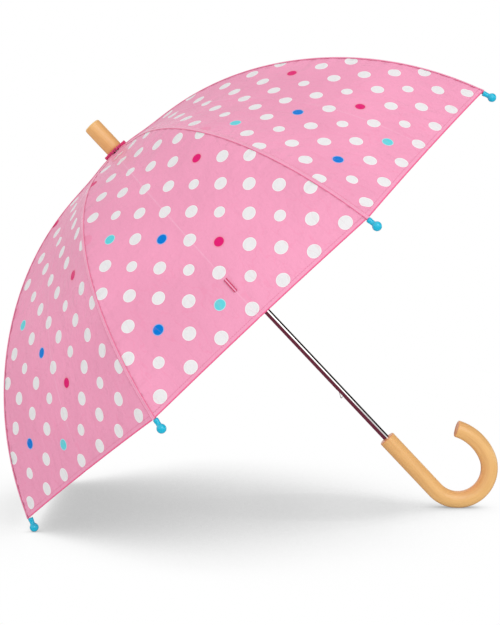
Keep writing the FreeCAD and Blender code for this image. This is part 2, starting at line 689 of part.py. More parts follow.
def make_gore(n):
    """One eighth of the canopy, from crease to crease with its rib in the middle, as a thin closed solid."""
    low = dim("rib_height") / 2 + dim("fabric_gap") + dim("clip_wall")
    slope = math.tan(math.radians(PITCH_DEG / 2))
    stations = 9
    rows = []
    for rise, order in ((low, (-1, 0, 1)), (low + dim("fabric"), (1, 0, -1))):
        for side in order:
            row = []
            for i in range(stations):
                s = dim("gore_start") + (dim("gore_end") - dim("gore_start")) * i / (stations - 1)
                # the hem rises between the ribs, so a crease ends short of its rib
                crease_s = s - dim("hem_scallop") * (i / (stations - 1)) ** 3
                x, z = crease_point(crease_s, rise) if side else rib_point(s, rise)
                row.append(Vector(x, side * (x * slope - dim("crease_gap") / 2), z))
            curve = Part.BSplineCurve()
            curve.interpolate(row)
            rows.append(curve.toShape())
    faces = [Part.makeRuledSurface(rows[i], rows[(i + 1) % 6]) for i in range(6)]
    for end in (0, -1):
        tips = [row.Vertexes[end].Point for row in rows]
        for a, b, c, d in ((0, 1, 5, 4), (1, 2, 4, 3)):
            faces.append(Part.makeRuledSurface(Part.makeLine(tips[a], tips[b]), Part.makeLine(tips[c], tips[d])))
    shell = Part.Shell(faces)
    shell.sewShape()
    shape = Part.Solid(Part.Shell(shell.Faces))
    if shape.Volume < 0:
        shape.reverse()
    return solid_feature(f"canopy_gore_{n}", shape, in_rib_plane(n, 0, 0))


def flat_on_crease(name, at, above, length, width, thickness, shift=0.0):
    """A small flat piece along the front crease, with its lower face at the height above over the fabric's inside."""
    inside = dim("rib_height") / 2 + dim("fabric_gap") + dim("clip_wall")
    spread = math.cos(math.radians(PITCH_DEG / 2))
    (x0, z0), (x, z), (x1, z1) = (crease_point(at + step, inside) for step in (-4.0, 0.0, 4.0))
    lean = math.atan2((x1 - x0) / spread, z0 - z1)
    out, up = x / spread + above * math.cos(lean), z + above * math.sin(lean)
    made = doc.addObject("Part::Box", name)
    made.Label = name
    bind(made, Length=length, Width=width, Height=thickness)
    corner = Vector(-dim(length.split(".")[1]) / 2 + shift, -dim(width.split(".")[1]) / 2, 0)
    front = Rotation(Vector(0, 0, 1), STRAP_AZIMUTH)
    turn = front.multiply(Rotation(Vector(0, 1, 0), 90 - math.degrees(lean)))
    made.Placement = Placement(front.multVec(Vector(out, 0, up)), turn).multiply(Placement(corner, Rotation()))
    return made


STRAP_AZIMUTH = 270.0
TOP_NOSE = RUNNER_OPEN - dim("runner_length") - dim("catch_gap")
BOTTOM_NOSE = RUNNER_FOLDED + dim("runner_above") + dim("catch_gap")
STRAP_TOP = -dim("strap_depth")
PAD_BASE = STRAP_TOP - dim("strap_thickness") - dim("pad_thickness") - 0.05
CROWN_PIN = dim("crown_pivot") + dim("slot_reach") + 1.8
STOP_PIN = RUNNER_OPEN + dim("runner_above") + dim("pin_radius") + 0.4


def make_all():
    parts = [
        make_handle(),
        make_shaft(),
        make_ferrule(),
        make_washer(),
        make_apex(),
        make_crown(),
        make_ring_wire("crown_wire", dim("crown_pivot")),
        make_pin("crown_pin", CROWN_PIN, dim("crown_radius") - 0.3, FIRST_RIB_DEG),
        make_pin("stop_pin", STOP_PIN, dim("shaft_radius") + 1.6, 0.0),
        make_runner(),
        make_ring_wire("runner_wire", RUNNER_OPEN),
        make_catch("top_catch", TOP_NOSE, True),
        make_catch("bottom_catch", BOTTOM_NOSE, False),
        flat_on_crease("closing_strap", dim("strap_at"), STRAP_TOP - dim("strap_thickness"), "dims.strap_length",
                       "dims.strap_width", "dims.strap_thickness"),
        flat_on_crease("strap_hook_pad", dim("strap_at"), PAD_BASE, "dims.pad_length", "dims.strap_width",
                       "dims.pad_thickness", -20.0),
        flat_on_crease("strap_loop_pad", dim("strap_at"), PAD_BASE, "dims.pad_length", "dims.strap_width",
                       "dims.pad_thickness", 8.0),
        flat_on_crease("strap_tab", dim("tab_at"), dim("fabric") + 0.8, "dims.tab_length", "dims.tab_width",
                       "dims.tab_height"),
    ]
    for n in range(1, RIBS + 1):
        parts += [make_inner_rib(n), make_outer_rib(n), make_stretcher(n), make_tip(n), make_gore(n)]
    return parts


def check(parts):
    """Stops the build at a failed object or a shape that isn't sound."""
    bad = [o.Name for o in doc.Objects if {"Invalid", "Error"} & set(o.State)]
    bad += [p.Label for p in parts if p.Shape.isNull() or not p.Shape.isValid() or not p.Shape.Solids]
    if bad:
        raise RuntimeError(f"these objects failed: {bad}")


PARTS = make_all()
doc.recompute()
check(PARTS)
os.makedirs("parts", exist_ok=True)
for made_part in PARTS:
    made_part.Shape.exportStep(f"parts/{made_part.Label}.step")
print(f"wrote {len(PARTS)} parts")
print(f"stretcher {STRETCHER:.2f}, open angle {math.degrees(OPEN_ANGLE):.2f}")
print(f"runner from {RUNNER_OPEN:.2f} to {RUNNER_FOLDED:.2f}")
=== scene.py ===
"""Builds the looks of an open children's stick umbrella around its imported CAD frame.

Every length is in metres unless its name says otherwise. The umbrella stands upright in its own frame, with
+Z up the shaft, and the floor is the tilted plane that it leans on when it is put down open.
"""

import json
import math
from functools import lru_cache

import bmesh
import bpy
from bpy.props import FloatProperty, FloatVectorProperty, IntProperty, PointerProperty
from mathutils import Matrix, Vector


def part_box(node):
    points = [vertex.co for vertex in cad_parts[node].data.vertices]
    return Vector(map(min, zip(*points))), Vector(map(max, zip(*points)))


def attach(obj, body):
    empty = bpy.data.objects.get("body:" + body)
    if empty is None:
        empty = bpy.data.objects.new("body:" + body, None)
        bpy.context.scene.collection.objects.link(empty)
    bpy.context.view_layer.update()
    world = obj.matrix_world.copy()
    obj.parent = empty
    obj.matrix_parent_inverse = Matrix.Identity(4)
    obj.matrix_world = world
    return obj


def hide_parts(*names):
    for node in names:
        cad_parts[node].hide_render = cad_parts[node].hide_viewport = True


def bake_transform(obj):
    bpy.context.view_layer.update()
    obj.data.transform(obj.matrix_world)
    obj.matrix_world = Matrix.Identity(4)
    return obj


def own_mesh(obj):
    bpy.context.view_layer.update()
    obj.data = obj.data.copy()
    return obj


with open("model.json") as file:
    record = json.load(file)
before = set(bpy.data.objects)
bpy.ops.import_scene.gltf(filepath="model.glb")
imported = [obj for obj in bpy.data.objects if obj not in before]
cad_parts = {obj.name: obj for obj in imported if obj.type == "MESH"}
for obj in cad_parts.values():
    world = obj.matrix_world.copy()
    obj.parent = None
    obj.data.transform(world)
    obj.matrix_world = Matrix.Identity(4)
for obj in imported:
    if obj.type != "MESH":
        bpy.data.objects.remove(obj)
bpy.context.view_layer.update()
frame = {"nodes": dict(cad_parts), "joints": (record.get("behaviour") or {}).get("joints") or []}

bl_info = {
    "name": "Children's Umbrella",
    "version": (1, 0, 0),
    "blender": (4, 5, 0),
    "location": "3D View > Sidebar > Umbrella",
    "description": "Builds the fabric, wood and steel of an open children's umbrella",
    "category": "Add Mesh",
}

MM = 0.001
JOINTS = {joint["name"]: joint for joint in frame["joints"]}
RIBS = sum(1 for name in JOINTS if name.startswith("rib_") and name.endswith("_turn"))
HALF_PITCH = math.pi / RIBS
CROWN_PIVOT = Vector(JOINTS["rib_1_turn"]["pos_m"])
PIVOT_RADIUS = CROWN_PIVOT.xy.length
FIRST_AZIMUTH = math.atan2(CROWN_PIVOT.y, CROWN_PIVOT.x)

# The rib's bend, as it is stressed by the fabric: two arcs that meet at the flexing place.
RIB_START = math.radians(95.8)
FLEX_AT = 0.210
INNER_BEND = 0.345
OUTER_BEND = 0.385
RIB_END = 0.475
BALL_AT, BALL_RADIUS = 0.481, 0.005

# The canopy's bands above the flexing place, from the apex down: name, last place along the rib, and the share
# of its width that the band keeps when the umbrella is folded. A narrow band gathers less than a wide one.
UPPER_BANDS = (
    ("top", 0.020, 1.0),
    ("neck", 0.050, 0.66),
    ("shoulder", 0.090, 0.44),
    ("upper", 0.140, 0.35),
    ("middle", FLEX_AT, 0.27),
)

# The print's special dots, as (column, row) on its staggered lattice. Columns count from the panel's middle.
CRIMSON, BLUE, TURQUOISE = (0.74, 0.012, 0.165), (0.0, 0.19, 0.66), (0.12, 0.64, 0.71)
COLOURED_DOTS = {
    CRIMSON: ((-2, -5), (3, 0), (1, 4)),
    BLUE: ((-1, 2), (-4, 5)),
    TURQUOISE: ((-3, 0), (-1, 6)),
}
SMALL_DOTS = ((0, -3), (-2, -1), (2, 1), (-3, 2), (2, 3), (-1, 4), (4, 5), (-5, 6), (1, 6))
BARE_PLACES = ((-4, -1),)
LATTICE_STRIDE = 32
PRINT_BLUR = 0.00025

FRONT_RIB = 6
HEM_LIFT = 0.0003
FLOOR_NORMAL = Vector((0.6935, 0.0, 0.7205)).normalized()


def round_shaft(radius, turn, height):
    """The point at that distance, angle and height about the shaft."""
    return Vector((radius * math.cos(turn), radius * math.sin(turn), height))


def rib_azimuth(n):
    """Where rib n stands round the shaft."""
    return FIRST_AZIMUTH + 2 * HALF_PITCH * (n - 1)


def rib_angle(s):
    """Direction of a rib at the length s from the crown's wire, from straight down."""
    return RIB_START - min(s, FLEX_AT) / INNER_BEND - max(s - FLEX_AT, 0.0) / OUTER_BEND


def rib_point(n, s, rise=0.0):
    """Point at the length s along rib n's middle line, moved outwards from the dome by rise."""
    start, flex, here = rib_angle(0.0), rib_angle(min(s, FLEX_AT)), rib_angle(s)
    x = PIVOT_RADIUS + INNER_BEND * (math.cos(flex) - math.cos(start))
    z = CROWN_PIVOT.z + INNER_BEND * (math.sin(flex) - math.sin(start))
    x += OUTER_BEND * (math.cos(here) - math.cos(flex)) + rise * math.cos(here)
    z += OUTER_BEND * (math.sin(here) - math.sin(flex)) + rise * math.sin(here)
    return round_shaft(x, rib_azimuth(n), z)


def rib_tangent(n, s):
    """Unit vector down rib n at the length s."""
    return (rib_point(n, s + MM) - rib_point(n, s - MM)).normalized()


@lru_cache(maxsize=None)
def crease_length(s):
    """Length down the middle of a panel to the chord between two ribs' points at the length s."""
    steps = max(2, round(abs(s) / (4 * MM)))
    line = [rib_point(1, s * i / steps).lerp(rib_point(2, s * i / steps), 0.5) for i in range(steps + 1)]
    return sum((after - before).length for before, after in zip(line, line[1:]))


def across(turn):
    """Unit vector across the rib or crease at that angle, towards the rib after it."""
    return round_shaft(1.0, turn + math.pi / 2, 0.0)


# --- Properties ---------------------------------------------------------------


def colour_prop(name, description, default):
    """A colour setting."""
    return FloatVectorProperty(
        name=name, description=description, subtype="COLOR", size=3, min=0.0, max=1.0, default=default
    )


def vector_prop(name, description, default, subtype="DIRECTION"):
    """A place or a direction."""
    return FloatVectorProperty(name=name, description=description, subtype=subtype, size=3, default=default)


def length_prop(name, description, default):
    """A length setting in metres."""
    return FloatProperty(name=name, description=description, default=default, unit="LENGTH", precision=5)


class UmbrellaCanopy(bpy.types.PropertyGroup):
    """Shape and print of the canopy"""

    start: length_prop("Start", "Where the fabric starts, along the rib from the crown's wire", -0.003)
    end: length_prop("End", "Where the fabric ends, along the rib from the crown's wire", 0.4695)
    rise: length_prop("Rise", "Height of the fabric's inside above the rib's middle line", 0.0024)
    thickness: length_prop("Thickness", "Thickness of the fabric", 0.0004)
    apex_rise: length_prop("Apex rise", "Extra height of the fabric where it reaches the washer", 0.0075)
    apex_reach: length_prop("Apex reach", "How far down the ribs that extra height fades", 0.034)
    hem_rise: length_prop("Hem rise", "How far the hem rises between two ribs", 0.0015)
    sag: length_prop("Sag", "Hollow in the middle of a panel", 0.004)
    crease: length_prop("Crease", "Height of the fold crease down the middle of a panel", 0.0007)
    hem_width: length_prop("Hem width", "Width of the folded hem", 0.0065)
    columns: IntProperty(name="Columns", description="Faces from a rib to a crease", default=26, min=4)
    upper_rows: IntProperty(name="Upper rows", description="Faces from apex to flex", default=36, min=4)
    lower_rows: IntProperty(name="Lower rows", description="Faces from flex to hem", default=52, min=4)
    dot_column: length_prop("Dot column", "Half the distance between two dots in a row", 0.021)
    dot_row: length_prop("Dot row", "Distance between two rows of dots", 0.0273)
    first_row: length_prop("First row", "Length down the panel's middle to the print's row 0", 0.2424)
    large_dot: length_prop("Large dot", "Diameter of a large dot", 0.0149)
    small_dot: length_prop("Small dot", "Diameter of a small dot", 0.0129)
    pink: colour_prop("Pink", "Ground colour of the fabric", (0.89, 0.352, 0.525))
    seam_pink: colour_prop("Seam pink", "Colour of the seams' edges and of the hem's edge", (0.84, 0.105, 0.27))
    white: colour_prop("White", "Colour of the white dots", (0.80, 0.79, 0.80))
    keep: FloatProperty(name="Folded width", description="Share of its width that the lower band keeps",
                        default=0.2, min=0.05, max=1.0, subtype="FACTOR")
    strap_at: length_prop("Strap", "Middle of the closing strap, down the crease", 0.372)


class UmbrellaFinish(bpy.types.PropertyGroup):
    """Colours of the hard pieces"""

    wood: colour_prop("Wood", "Light colour of the wood", (0.86, 0.51, 0.18))
    wood_dark: colour_prop("Dark wood", "Colour of the grain lines", (0.58, 0.28, 0.08))
    tip: colour_prop("Tip", "Colour of the ball tips", (0.005, 0.50, 0.72))
    washer: colour_prop("Washer", "Colour of the pinked washer", (0.88, 0.04, 0.25))
    tack: colour_prop("Tack", "Colour of the stitched tack", (0.78, 0.02, 0.14))
    steel: colour_prop("Steel", "Colour of the chromed steel", (0.82, 0.80, 0.79))
    moulded: colour_prop("Moulded plastic", "Colour of the crown and the runner", (0.80, 0.79, 0.77))


class UmbrellaStage(bpy.types.PropertyGroup):
    """Camera, floor and light"""

    lens: FloatProperty(name="Lens", description="Focal length in millimetres", default=87.6, min=10.0)
    eye: vector_prop("Eye", "Place of the camera", (0.0489, -1.8609, 0.3989), "TRANSLATION")
    gaze: vector_prop("Gaze", "Direction that the camera looks in", (0.00391, 0.99747, -0.07104))
    up: vector_prop("Up", "Direction of the picture's upper edge", (0.68439, 0.04913, 0.72746))
    shift: FloatVectorProperty(name="Shift", description="Sideways and upward shift of the lens", size=2,
                               default=(-0.0761, -0.0570))
    floor_size: length_prop("Floor size", "Side of the square floor", 12.0)
    key_power: FloatProperty(name="Key light", description="Power of the soft lamp in watts", default=9.0)
    sky: FloatProperty(name="Sky", description="Strength of the even light from all round", default=0.85)
    card: vector_prop("Dark card", "Direction of the dark card that chrome reflects", (0.985, 0.174, 0.0))
    shade_reach: length_prop("Shade reach", "How far the soft shade on the floor reaches", 0.56)


def settings():
    """The scene's settings: canopy, finish and stage."""
    scene = bpy.context.scene
    return scene.umbrella_canopy, scene.umbrella_finish, scene.umbrella_stage


# --- Meshes -------------------------------------------------------------------


def linked(name, data):
    """A new object in the scene with that mesh, lamp or camera."""
    made = bpy.data.objects.new(name, data)
    bpy.context.scene.collection.objects.link(made)
    return made


def new_piece(name, bm, material, body=None, smooth=True):
    """Makes an object from bm, which rides on a body, and frees bm."""
    mesh = bpy.data.meshes.new(name)
    bm.to_mesh(mesh)
    bm.free()
    mesh.materials.append(material)
    mesh.polygons.foreach_set("use_smooth", [smooth] * len(mesh.polygons))
    piece = linked(name, mesh)
    if body:
        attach(piece, body)
    return piece


def mapped_grid(columns, rows, place):
    """A grid with its vertices where place(a, b) says, for a and b from 0 to 1, and a and b as its UV map."""
    bm = bmesh.new()
    bmesh.ops.create_grid(bm, x_segments=columns, y_segments=rows, size=0.5)
    uv = bm.loops.layers.uv.new("UVMap")
    spots = {v: (v.co.x + 0.5, v.co.y + 0.5) for v in bm.verts}
    for face in bm.faces:
        for loop in face.loops:
            loop[uv].uv = spots[loop.vert]
    for vert, (a, b) in spots.items():
        vert.co = place(a, b)
    return bm


def scale_uv(bm, width, length):
    """Brings a mapped grid's UV map to metres."""
    uv = bm.loops.layers.uv.active
    for face in bm.faces:
        for loop in face.loops:
            a, b = loop[uv].uv
            loop[uv].uv = (a * width, b * length)


def thicken(bm, thickness):
    """Gives a sheet its thickness and returns its one-sided area."""
    bmesh.ops.recalc_face_normals(bm, faces=bm.faces)
    area = sum(face.calc_area() for face in bm.faces)
    bmesh.ops.solidify(bm, geom=bm.faces[:], thickness=thickness)
    bmesh.ops.recalc_face_normals(bm, faces=bm.faces)
    return area


def swept_tube(profile_radius, stations, segments):
    """A round tube through stations, each (centre, sideways, outwards, scale), with its UV map along it."""
    length = [0.0]
    for before, after in zip(stations, stations[1:]):
        length.append(length[-1] + (after[0] - before[0]).length)

    def place(a, b):
        index = round(b * (len(stations) - 1))
        centre, side, out, scale = stations[index]
        turn = 2 * math.pi * a
        return centre + profile_radius * scale * (side * math.cos(turn) + out * math.sin(turn))

    bm = mapped_grid(segments, len(stations) - 1, place)
    uv = bm.loops.layers.uv.active
    for face in bm.faces:
        for loop in face.loops:
            a, b = loop[uv].uv
            loop[uv].uv = (a * 2 * math.pi * profile_radius, length[round(b * (len(stations) - 1))])
    bmesh.ops.remove_doubles(bm, verts=bm.verts, dist=1e-7)
    bmesh.ops.holes_fill(bm, edges=[e for e in bm.edges if e.is_boundary], sides=0)
    bmesh.ops.recalc_face_normals(bm, faces=bm.faces)
    return bm


def turned(outline, segments):
    """A solid of revolution about Z from (radius, height) points that start and end on the axis."""
    bm = bmesh.new()
    verts = [bm.verts.new((radius, 0.0, height)) for radius, height in outline]
    edges = [bm.edges.new(pair) for pair in zip(verts, verts[1:])]
    bmesh.ops.spin(bm, geom=verts + edges, cent=(0, 0, 0), axis=(0, 0, 1), angle=2 * math.pi, steps=segments,
                   use_merge=True)
    bmesh.ops.remove_doubles(bm, verts=bm.verts, dist=1e-7)
    bmesh.ops.recalc_face_normals(bm, faces=bm.faces)
    return bm


# --- Materials ----------------------------------------------------------------


class Nodes:
    """Short ways to add nodes to one node tree."""

    def __init__(self, tree):
        self.tree = tree

    def add(self, kind, inputs=(), **properties):
        """A node of that kind, with its properties and its inputs set or linked."""
        node = self.tree.nodes.new("ShaderNode" + kind)
        for key, value in properties.items():
            setattr(node, key, value)
        for key, value in dict(inputs).items():
            self.put(node, key, value)
        return node

    def put(self, node, key, value):
        """Links a socket or a node to an input, or sets the input to a plain value."""
        if isinstance(value, bpy.types.Node):
            value = value.outputs[0]
        if isinstance(value, bpy.types.NodeSocket):
            self.tree.links.new(value, node.inputs[key])
        else:
            node.inputs[key].default_value = value

    def math(self, operation, a, b=0.0, c=0.0):
        """Arithmetic on numbers."""
        return self.add("Math", {0: a, 1: b, 2: c}, operation=operation).outputs[0]

    def times(self, a, b):
        """a multiplied by b."""
        return self.math("MULTIPLY", a, b)

    def plus(self, a, b):
        """a and b added."""
        return self.math("ADD", a, b)

    def minus(self, a, b):
        """b taken from a."""
        return self.math("SUBTRACT", a, b)

    def over(self, a, b):
        """a divided by b."""
        return self.math("DIVIDE", a, b)

    def vector(self, operation, a, b=(0.0, 0.0, 0.0)):
        """Arithmetic on vectors."""
        return self.add("VectorMath", {0: a, 1: b}, operation=operation).outputs[0]

    def away_from(self, value, centre):
        """How far a number is from another."""
        return self.math("ABSOLUTE", self.minus(value, centre))

    def mix(self, share, a, b):
        """Colour a at a share of 0, b at 1."""
        return self.add("Mix", {0: share, 6: a, 7: b}, data_type="RGBA").outputs[2]

    def clouded(self, share, colour, dark):
        """A colour with darker clouds, where share is low."""
        return self.mix(share, rgba(colour, dark), rgba(colour))

    def ramp(self, share, low, high):
        """0 below low and 1 above high, with a smooth step between them."""
        return self.add("MapRange", {0: share, 1: low, 2: high}, interpolation_type="SMOOTHSTEP").outputs[0]


class MaterialNodes(Nodes):
    """The node tree of a new material."""

    def __init__(self, name):
        self.material = bpy.data.materials.new(name)
        self.material.use_nodes = True
        super().__init__(self.material.node_tree)
        self.shader = self.tree.nodes["Principled BSDF"]

    def place(self):
        """Coordinates that stay with the object."""
        return self.add("TexCoord").outputs["Object"]

    def uv(self, name="UVMap"):
        """Coordinates from a UV map."""
        return self.add("UVMap", uv_map=name).outputs[0]

    def scaled(self, coordinates, scale, turn=0.0):
        """Coordinates stretched along their axes, after a turn about the third."""
        inputs = {"Vector": coordinates, "Rotation": (0.0, 0.0, turn), "Scale": scale}
        return self.add("Mapping", inputs).outputs[0]

    def noise(self, coordinates, scale, detail=2.0, roughness=0.5):
        """Cloudy values about 0.5, with scale clouds to a metre."""
        inputs = {"Vector": coordinates, "Scale": scale, "Detail": detail, "Roughness": roughness}
        return self.add("TexNoise", inputs).outputs[0]

    def bump(self, height, distance, strength=1.0, normal=None):
        """A relief of that height in metres, on top of another one."""
        inputs = {"Height": height, "Distance": distance, "Strength": strength}
        if normal is not None:
            inputs["Normal"] = normal
        return self.add("Bump", inputs).outputs[0]

    def set(self, **values):
        """Sets or links inputs of the shader, whose names are written with underscores."""
        for key, value in values.items():
            self.put(self.shader, key.replace("_", " "), value)


def rgba(colour, shade=1.0):
    """A colour made darker or lighter, as the nodes take it."""
    return (*(min(1.0, c * shade) for c in colour), 1.0)


def fabric_material(name, canopy):
    """Plain-woven polyester with a soft sheen, printed with dots on a staggered lattice."""
    thread_pitch, hem_line, crease_line = 0.00055, 0.0014, 0.0010
    nodes = MaterialNodes(name)
    uv, place = nodes.uv(), nodes.place()
    edge = nodes.add("SeparateXYZ", {0: nodes.uv("edge")})
    from_hem = edge.outputs["Y"]
    tone = nodes.noise(place, 9.0, 3.0)
    ground = nodes.clouded(nodes.ramp(tone, 0.3, 0.7), canopy.pink, 0.93)
    colour = print_dots(nodes, uv, ground, canopy)
    near_hem = nodes.ramp(from_hem, hem_line + 0.0005, hem_line - 0.0005)
    colour = nodes.mix(nodes.times(near_hem, 0.9), colour, rgba(canopy.seam_pink))
    from_crease = nodes.math("ABSOLUTE", edge.outputs["X"])
    on_crease = nodes.ramp(from_crease, crease_line, 0.3 * crease_line)
    # painted highlight: the crease's ridge is drawn lighter pink, in patches
    crease_highlight = nodes.times(on_crease, nodes.ramp(tone, 0.25, 0.6))
    colour = nodes.mix(nodes.times(crease_highlight, 0.24), colour, rgba((0.95, 0.62, 0.75)))
    pressed = nodes.noise(nodes.scaled(uv, (1.0, 0.30, 1.0), 0.5), 62.0, 2.0, 0.5)
    pressed = nodes.away_from(pressed, 0.5)
    # painted shade: thin darker lines along the pressed folds, strongest near the hem
    lines = nodes.times(nodes.ramp(pressed, 0.016, 0.002), nodes.ramp(from_hem, 0.20, 0.03))
    colour = nodes.mix(nodes.times(lines, 0.10), colour, rgba(canopy.seam_pink))
    stitch = stitch_line(nodes, edge, canopy.hem_width - 0.0012)
    colour = nodes.mix(nodes.times(stitch, 0.45), colour, rgba(canopy.seam_pink))
    weave = nodes.vector("SCALE", uv)
    weave.node.inputs["Scale"].default_value = 2 * math.pi / thread_pitch
    threads = nodes.add("SeparateXYZ", {0: weave})
    warp, weft = (nodes.math("SINE", threads.outputs[axis]) for axis in "XY")
    folds = nodes.noise(place, 30.0, 5.0, 0.62)
    normal = nodes.bump(nodes.times(warp, weft), 0.00004, 0.35)
    normal = nodes.bump(folds, 0.0075, 0.55, normal)
    normal = nodes.bump(pressed, 0.0050, 0.35, normal)
    normal = nodes.bump(stitch, 0.0004, 0.6, normal)
    nodes.set(Base_Color=colour, Normal=normal, Roughness=nodes.ramp(tone, 2.0, -2.2), Specular_IOR_Level=0.06,
              Sheen_Weight=0.01, Sheen_Roughness=0.4, Sheen_Tint=(1.0, 0.8, 0.88, 1.0))
    return nodes.material


def stitch_line(nodes, edge, inset):
    """1 on the thread of a lockstitch that runs inset from the hem."""
    stitch_pitch = 0.0026
    along = nodes.math("FRACT", nodes.over(edge.outputs["X"], stitch_pitch))
    dash = nodes.ramp(nodes.away_from(along, 0.5), 0.4, 0.34)
    return nodes.times(dash, nodes.ramp(nodes.away_from(edge.outputs["Y"], inset), 0.0004, 0.00015))


def print_dots(nodes, uv, ground, canopy):
    """White dots on a staggered lattice, most of them large, with a few small ones in another colour."""
    at = nodes.add("SeparateXYZ", {0: uv})
    x = nodes.over(at.outputs["X"], canopy.dot_column)
    y = nodes.over(nodes.minus(at.outputs["Y"], canopy.first_row), canopy.dot_row)
    # a staggered lattice is a plain one on its two diagonals
    rising = nodes.math("FLOOR", nodes.times(nodes.plus(x, y), 0.5))
    falling = nodes.math("FLOOR", nodes.times(nodes.minus(x, y), 0.5))
    column = nodes.plus(nodes.plus(rising, falling), 1.0)
    row = nodes.minus(rising, falling)
    away_x = nodes.times(nodes.minus(x, column), canopy.dot_column)
    away_y = nodes.times(nodes.minus(y, row), canopy.dot_row)
    squares = nodes.plus(nodes.math("POWER", away_x, 2.0), nodes.math("POWER", away_y, 2.0))
    cell = nodes.math("MULTIPLY_ADD", row, LATTICE_STRIDE, column)
    coloured = {colour: lattice_mask(nodes, cell, places) for colour, places in COLOURED_DOTS.items()}
    small = lattice_mask(nodes, cell, SMALL_DOTS)
    for mask in coloured.values():
        small = nodes.plus(small, mask)
    size = nodes.math("MULTIPLY_ADD", small, (canopy.small_dot - canopy.large_dot) / 2, canopy.large_dot / 2)
    beyond = nodes.minus(nodes.math("SQRT", squares), size)
    inside = nodes.ramp(beyond, PRINT_BLUR, -PRINT_BLUR)
    printed = nodes.minus(1.0, lattice_mask(nodes, cell, BARE_PLACES))
    inside = nodes.times(inside, printed)
    dot = rgba(canopy.white)
    for colour, mask in coloured.items():
        dot = nodes.mix(mask, dot, rgba(colour))
    thick_edge = nodes.ramp(beyond, -0.0013, -0.0004)
    dot = nodes.mix(nodes.times(thick_edge, 0.35), dot, rgba((0.97, 0.96, 0.96)))
    ring = nodes.ramp(beyond, 0.0010, 0.0003)
    ground = nodes.mix(nodes.times(ring, 0.22), ground, rgba(canopy.seam_pink))
    return nodes.mix(inside, ground, dot)


def lattice_mask(nodes, cell, places):
    """1 in the lattice cells at those (column, row) places."""
    total = 0.0
    for column, row in places:
        total = nodes.plus(total, nodes.math("COMPARE", cell, row * LATTICE_STRIDE + column, 0.5))
    return total


def seam_material(canopy, width):
    """The doubled fabric of a felled seam: pink in the middle, darker where its edges are stitched down."""
    stitch_pitch = 0.0028
    nodes = MaterialNodes("seam_fabric")
    at = nodes.add("SeparateXYZ", {0: nodes.uv()})
    tone = nodes.noise(nodes.place(), 60.0, 3.0)
    pull = nodes.math("SINE", nodes.times(at.outputs["Y"], 2 * math.pi / stitch_pitch))
    from_middle = nodes.away_from(at.outputs["X"], width / 2)
    side = nodes.times(nodes.ramp(from_middle, 0.30 * width, 0.40 * width), 0.8)
    middle = nodes.mix(tone, rgba(canopy.pink, 0.86), rgba(canopy.pink, 1.02))
    nodes.set(Base_Color=nodes.mix(side, middle, rgba(canopy.seam_pink)), Roughness=nodes.ramp(tone, 1.9, -1.6),
              Normal=nodes.bump(pull, 0.0001, 0.6), Sheen_Weight=0.3)
    return nodes.material


def wood_material(finish, along_uv):
    """Steam-bent beech under a satin lacquer: fine pores and soft lines along the grain."""
    along_grain = 0.045
    nodes = MaterialNodes("bent_beech" if along_uv else "turned_beech")
    where = nodes.uv() if along_uv else nodes.place()
    grain_at = nodes.scaled(where, (1.0, along_grain, 1.0) if along_uv else (1.0, 1.0, along_grain))
    broad = nodes.noise(grain_at, 160.0, 4.0, 0.6)
    fine = nodes.noise(grain_at, 900.0, 3.0, 0.55)
    lines = nodes.math("MULTIPLY_ADD", broad, 0.62, nodes.times(fine, 0.38))
    colour = nodes.mix(nodes.ramp(lines, 0.62, 0.36), rgba(finish.wood), rgba(finish.wood_dark))
    colour = nodes.mix(0.38, rgba(finish.wood), colour)
    patch = nodes.noise(where, 30.0, 2.0)
    colour = nodes.mix(nodes.times(patch, 0.25), colour, rgba(finish.wood, 1.12))
    nodes.set(Base_Color=colour, Roughness=nodes.ramp(fine, -0.6, 2.0), Normal=nodes.bump(fine, 0.00006, 0.2),
              Coat_Weight=0.4, Coat_Roughness=0.16)
    return nodes.material


def steel_material(name, colour, roughness, brushed):
    """Plated steel with drawing marks along it and faint smears."""
    nodes = MaterialNodes(name)
    place = nodes.place()
    marks = nodes.noise(nodes.scaled(place, (1.0, 1.0, 0.02)), 1500.0, 2.0)
    smears = nodes.noise(place, 45.0, 3.0)
    rough = nodes.math("MULTIPLY_ADD", smears, roughness, roughness * 0.6)
    shade = nodes.clouded(smears, colour, 0.9)
    nodes.set(Base_Color=shade, Metallic=1.0, Roughness=rough, Normal=nodes.bump(marks, 0.00005, brushed))
    return nodes.material


def plastic_material(name, colour, roughness):
    """Injection-moulded plastic with a faint orange-peel skin."""
    nodes = MaterialNodes(name)
    place = nodes.place()
    skin = nodes.noise(place, 420.0, 2.0)
    cloud = nodes.noise(place, 60.0, 2.0)
    rough = nodes.math("MULTIPLY_ADD", cloud, 0.08, roughness)
    nodes.set(Base_Color=nodes.clouded(cloud, colour, 0.9), Roughness=rough,
              Normal=nodes.bump(skin, 0.00008, 0.25), Coat_Weight=0.3, Coat_Roughness=0.1)
    return nodes.material


def plain_cloth_material(name, colour):
    """Small fabric pieces: felted or woven cloth without a print."""
    nodes = MaterialNodes(name)
    place = nodes.place()
    fuzz = nodes.noise(place, 900.0, 3.0)
    tone = nodes.noise(place, 120.0, 2.0)
    shade = nodes.clouded(tone, colour, 0.75)
    nodes.set(Base_Color=shade, Roughness=nodes.ramp(tone, -3.0, 1.2), Normal=nodes.bump(fuzz, 0.00025, 0.5),
              Sheen_Weight=0.4)
    return nodes.material


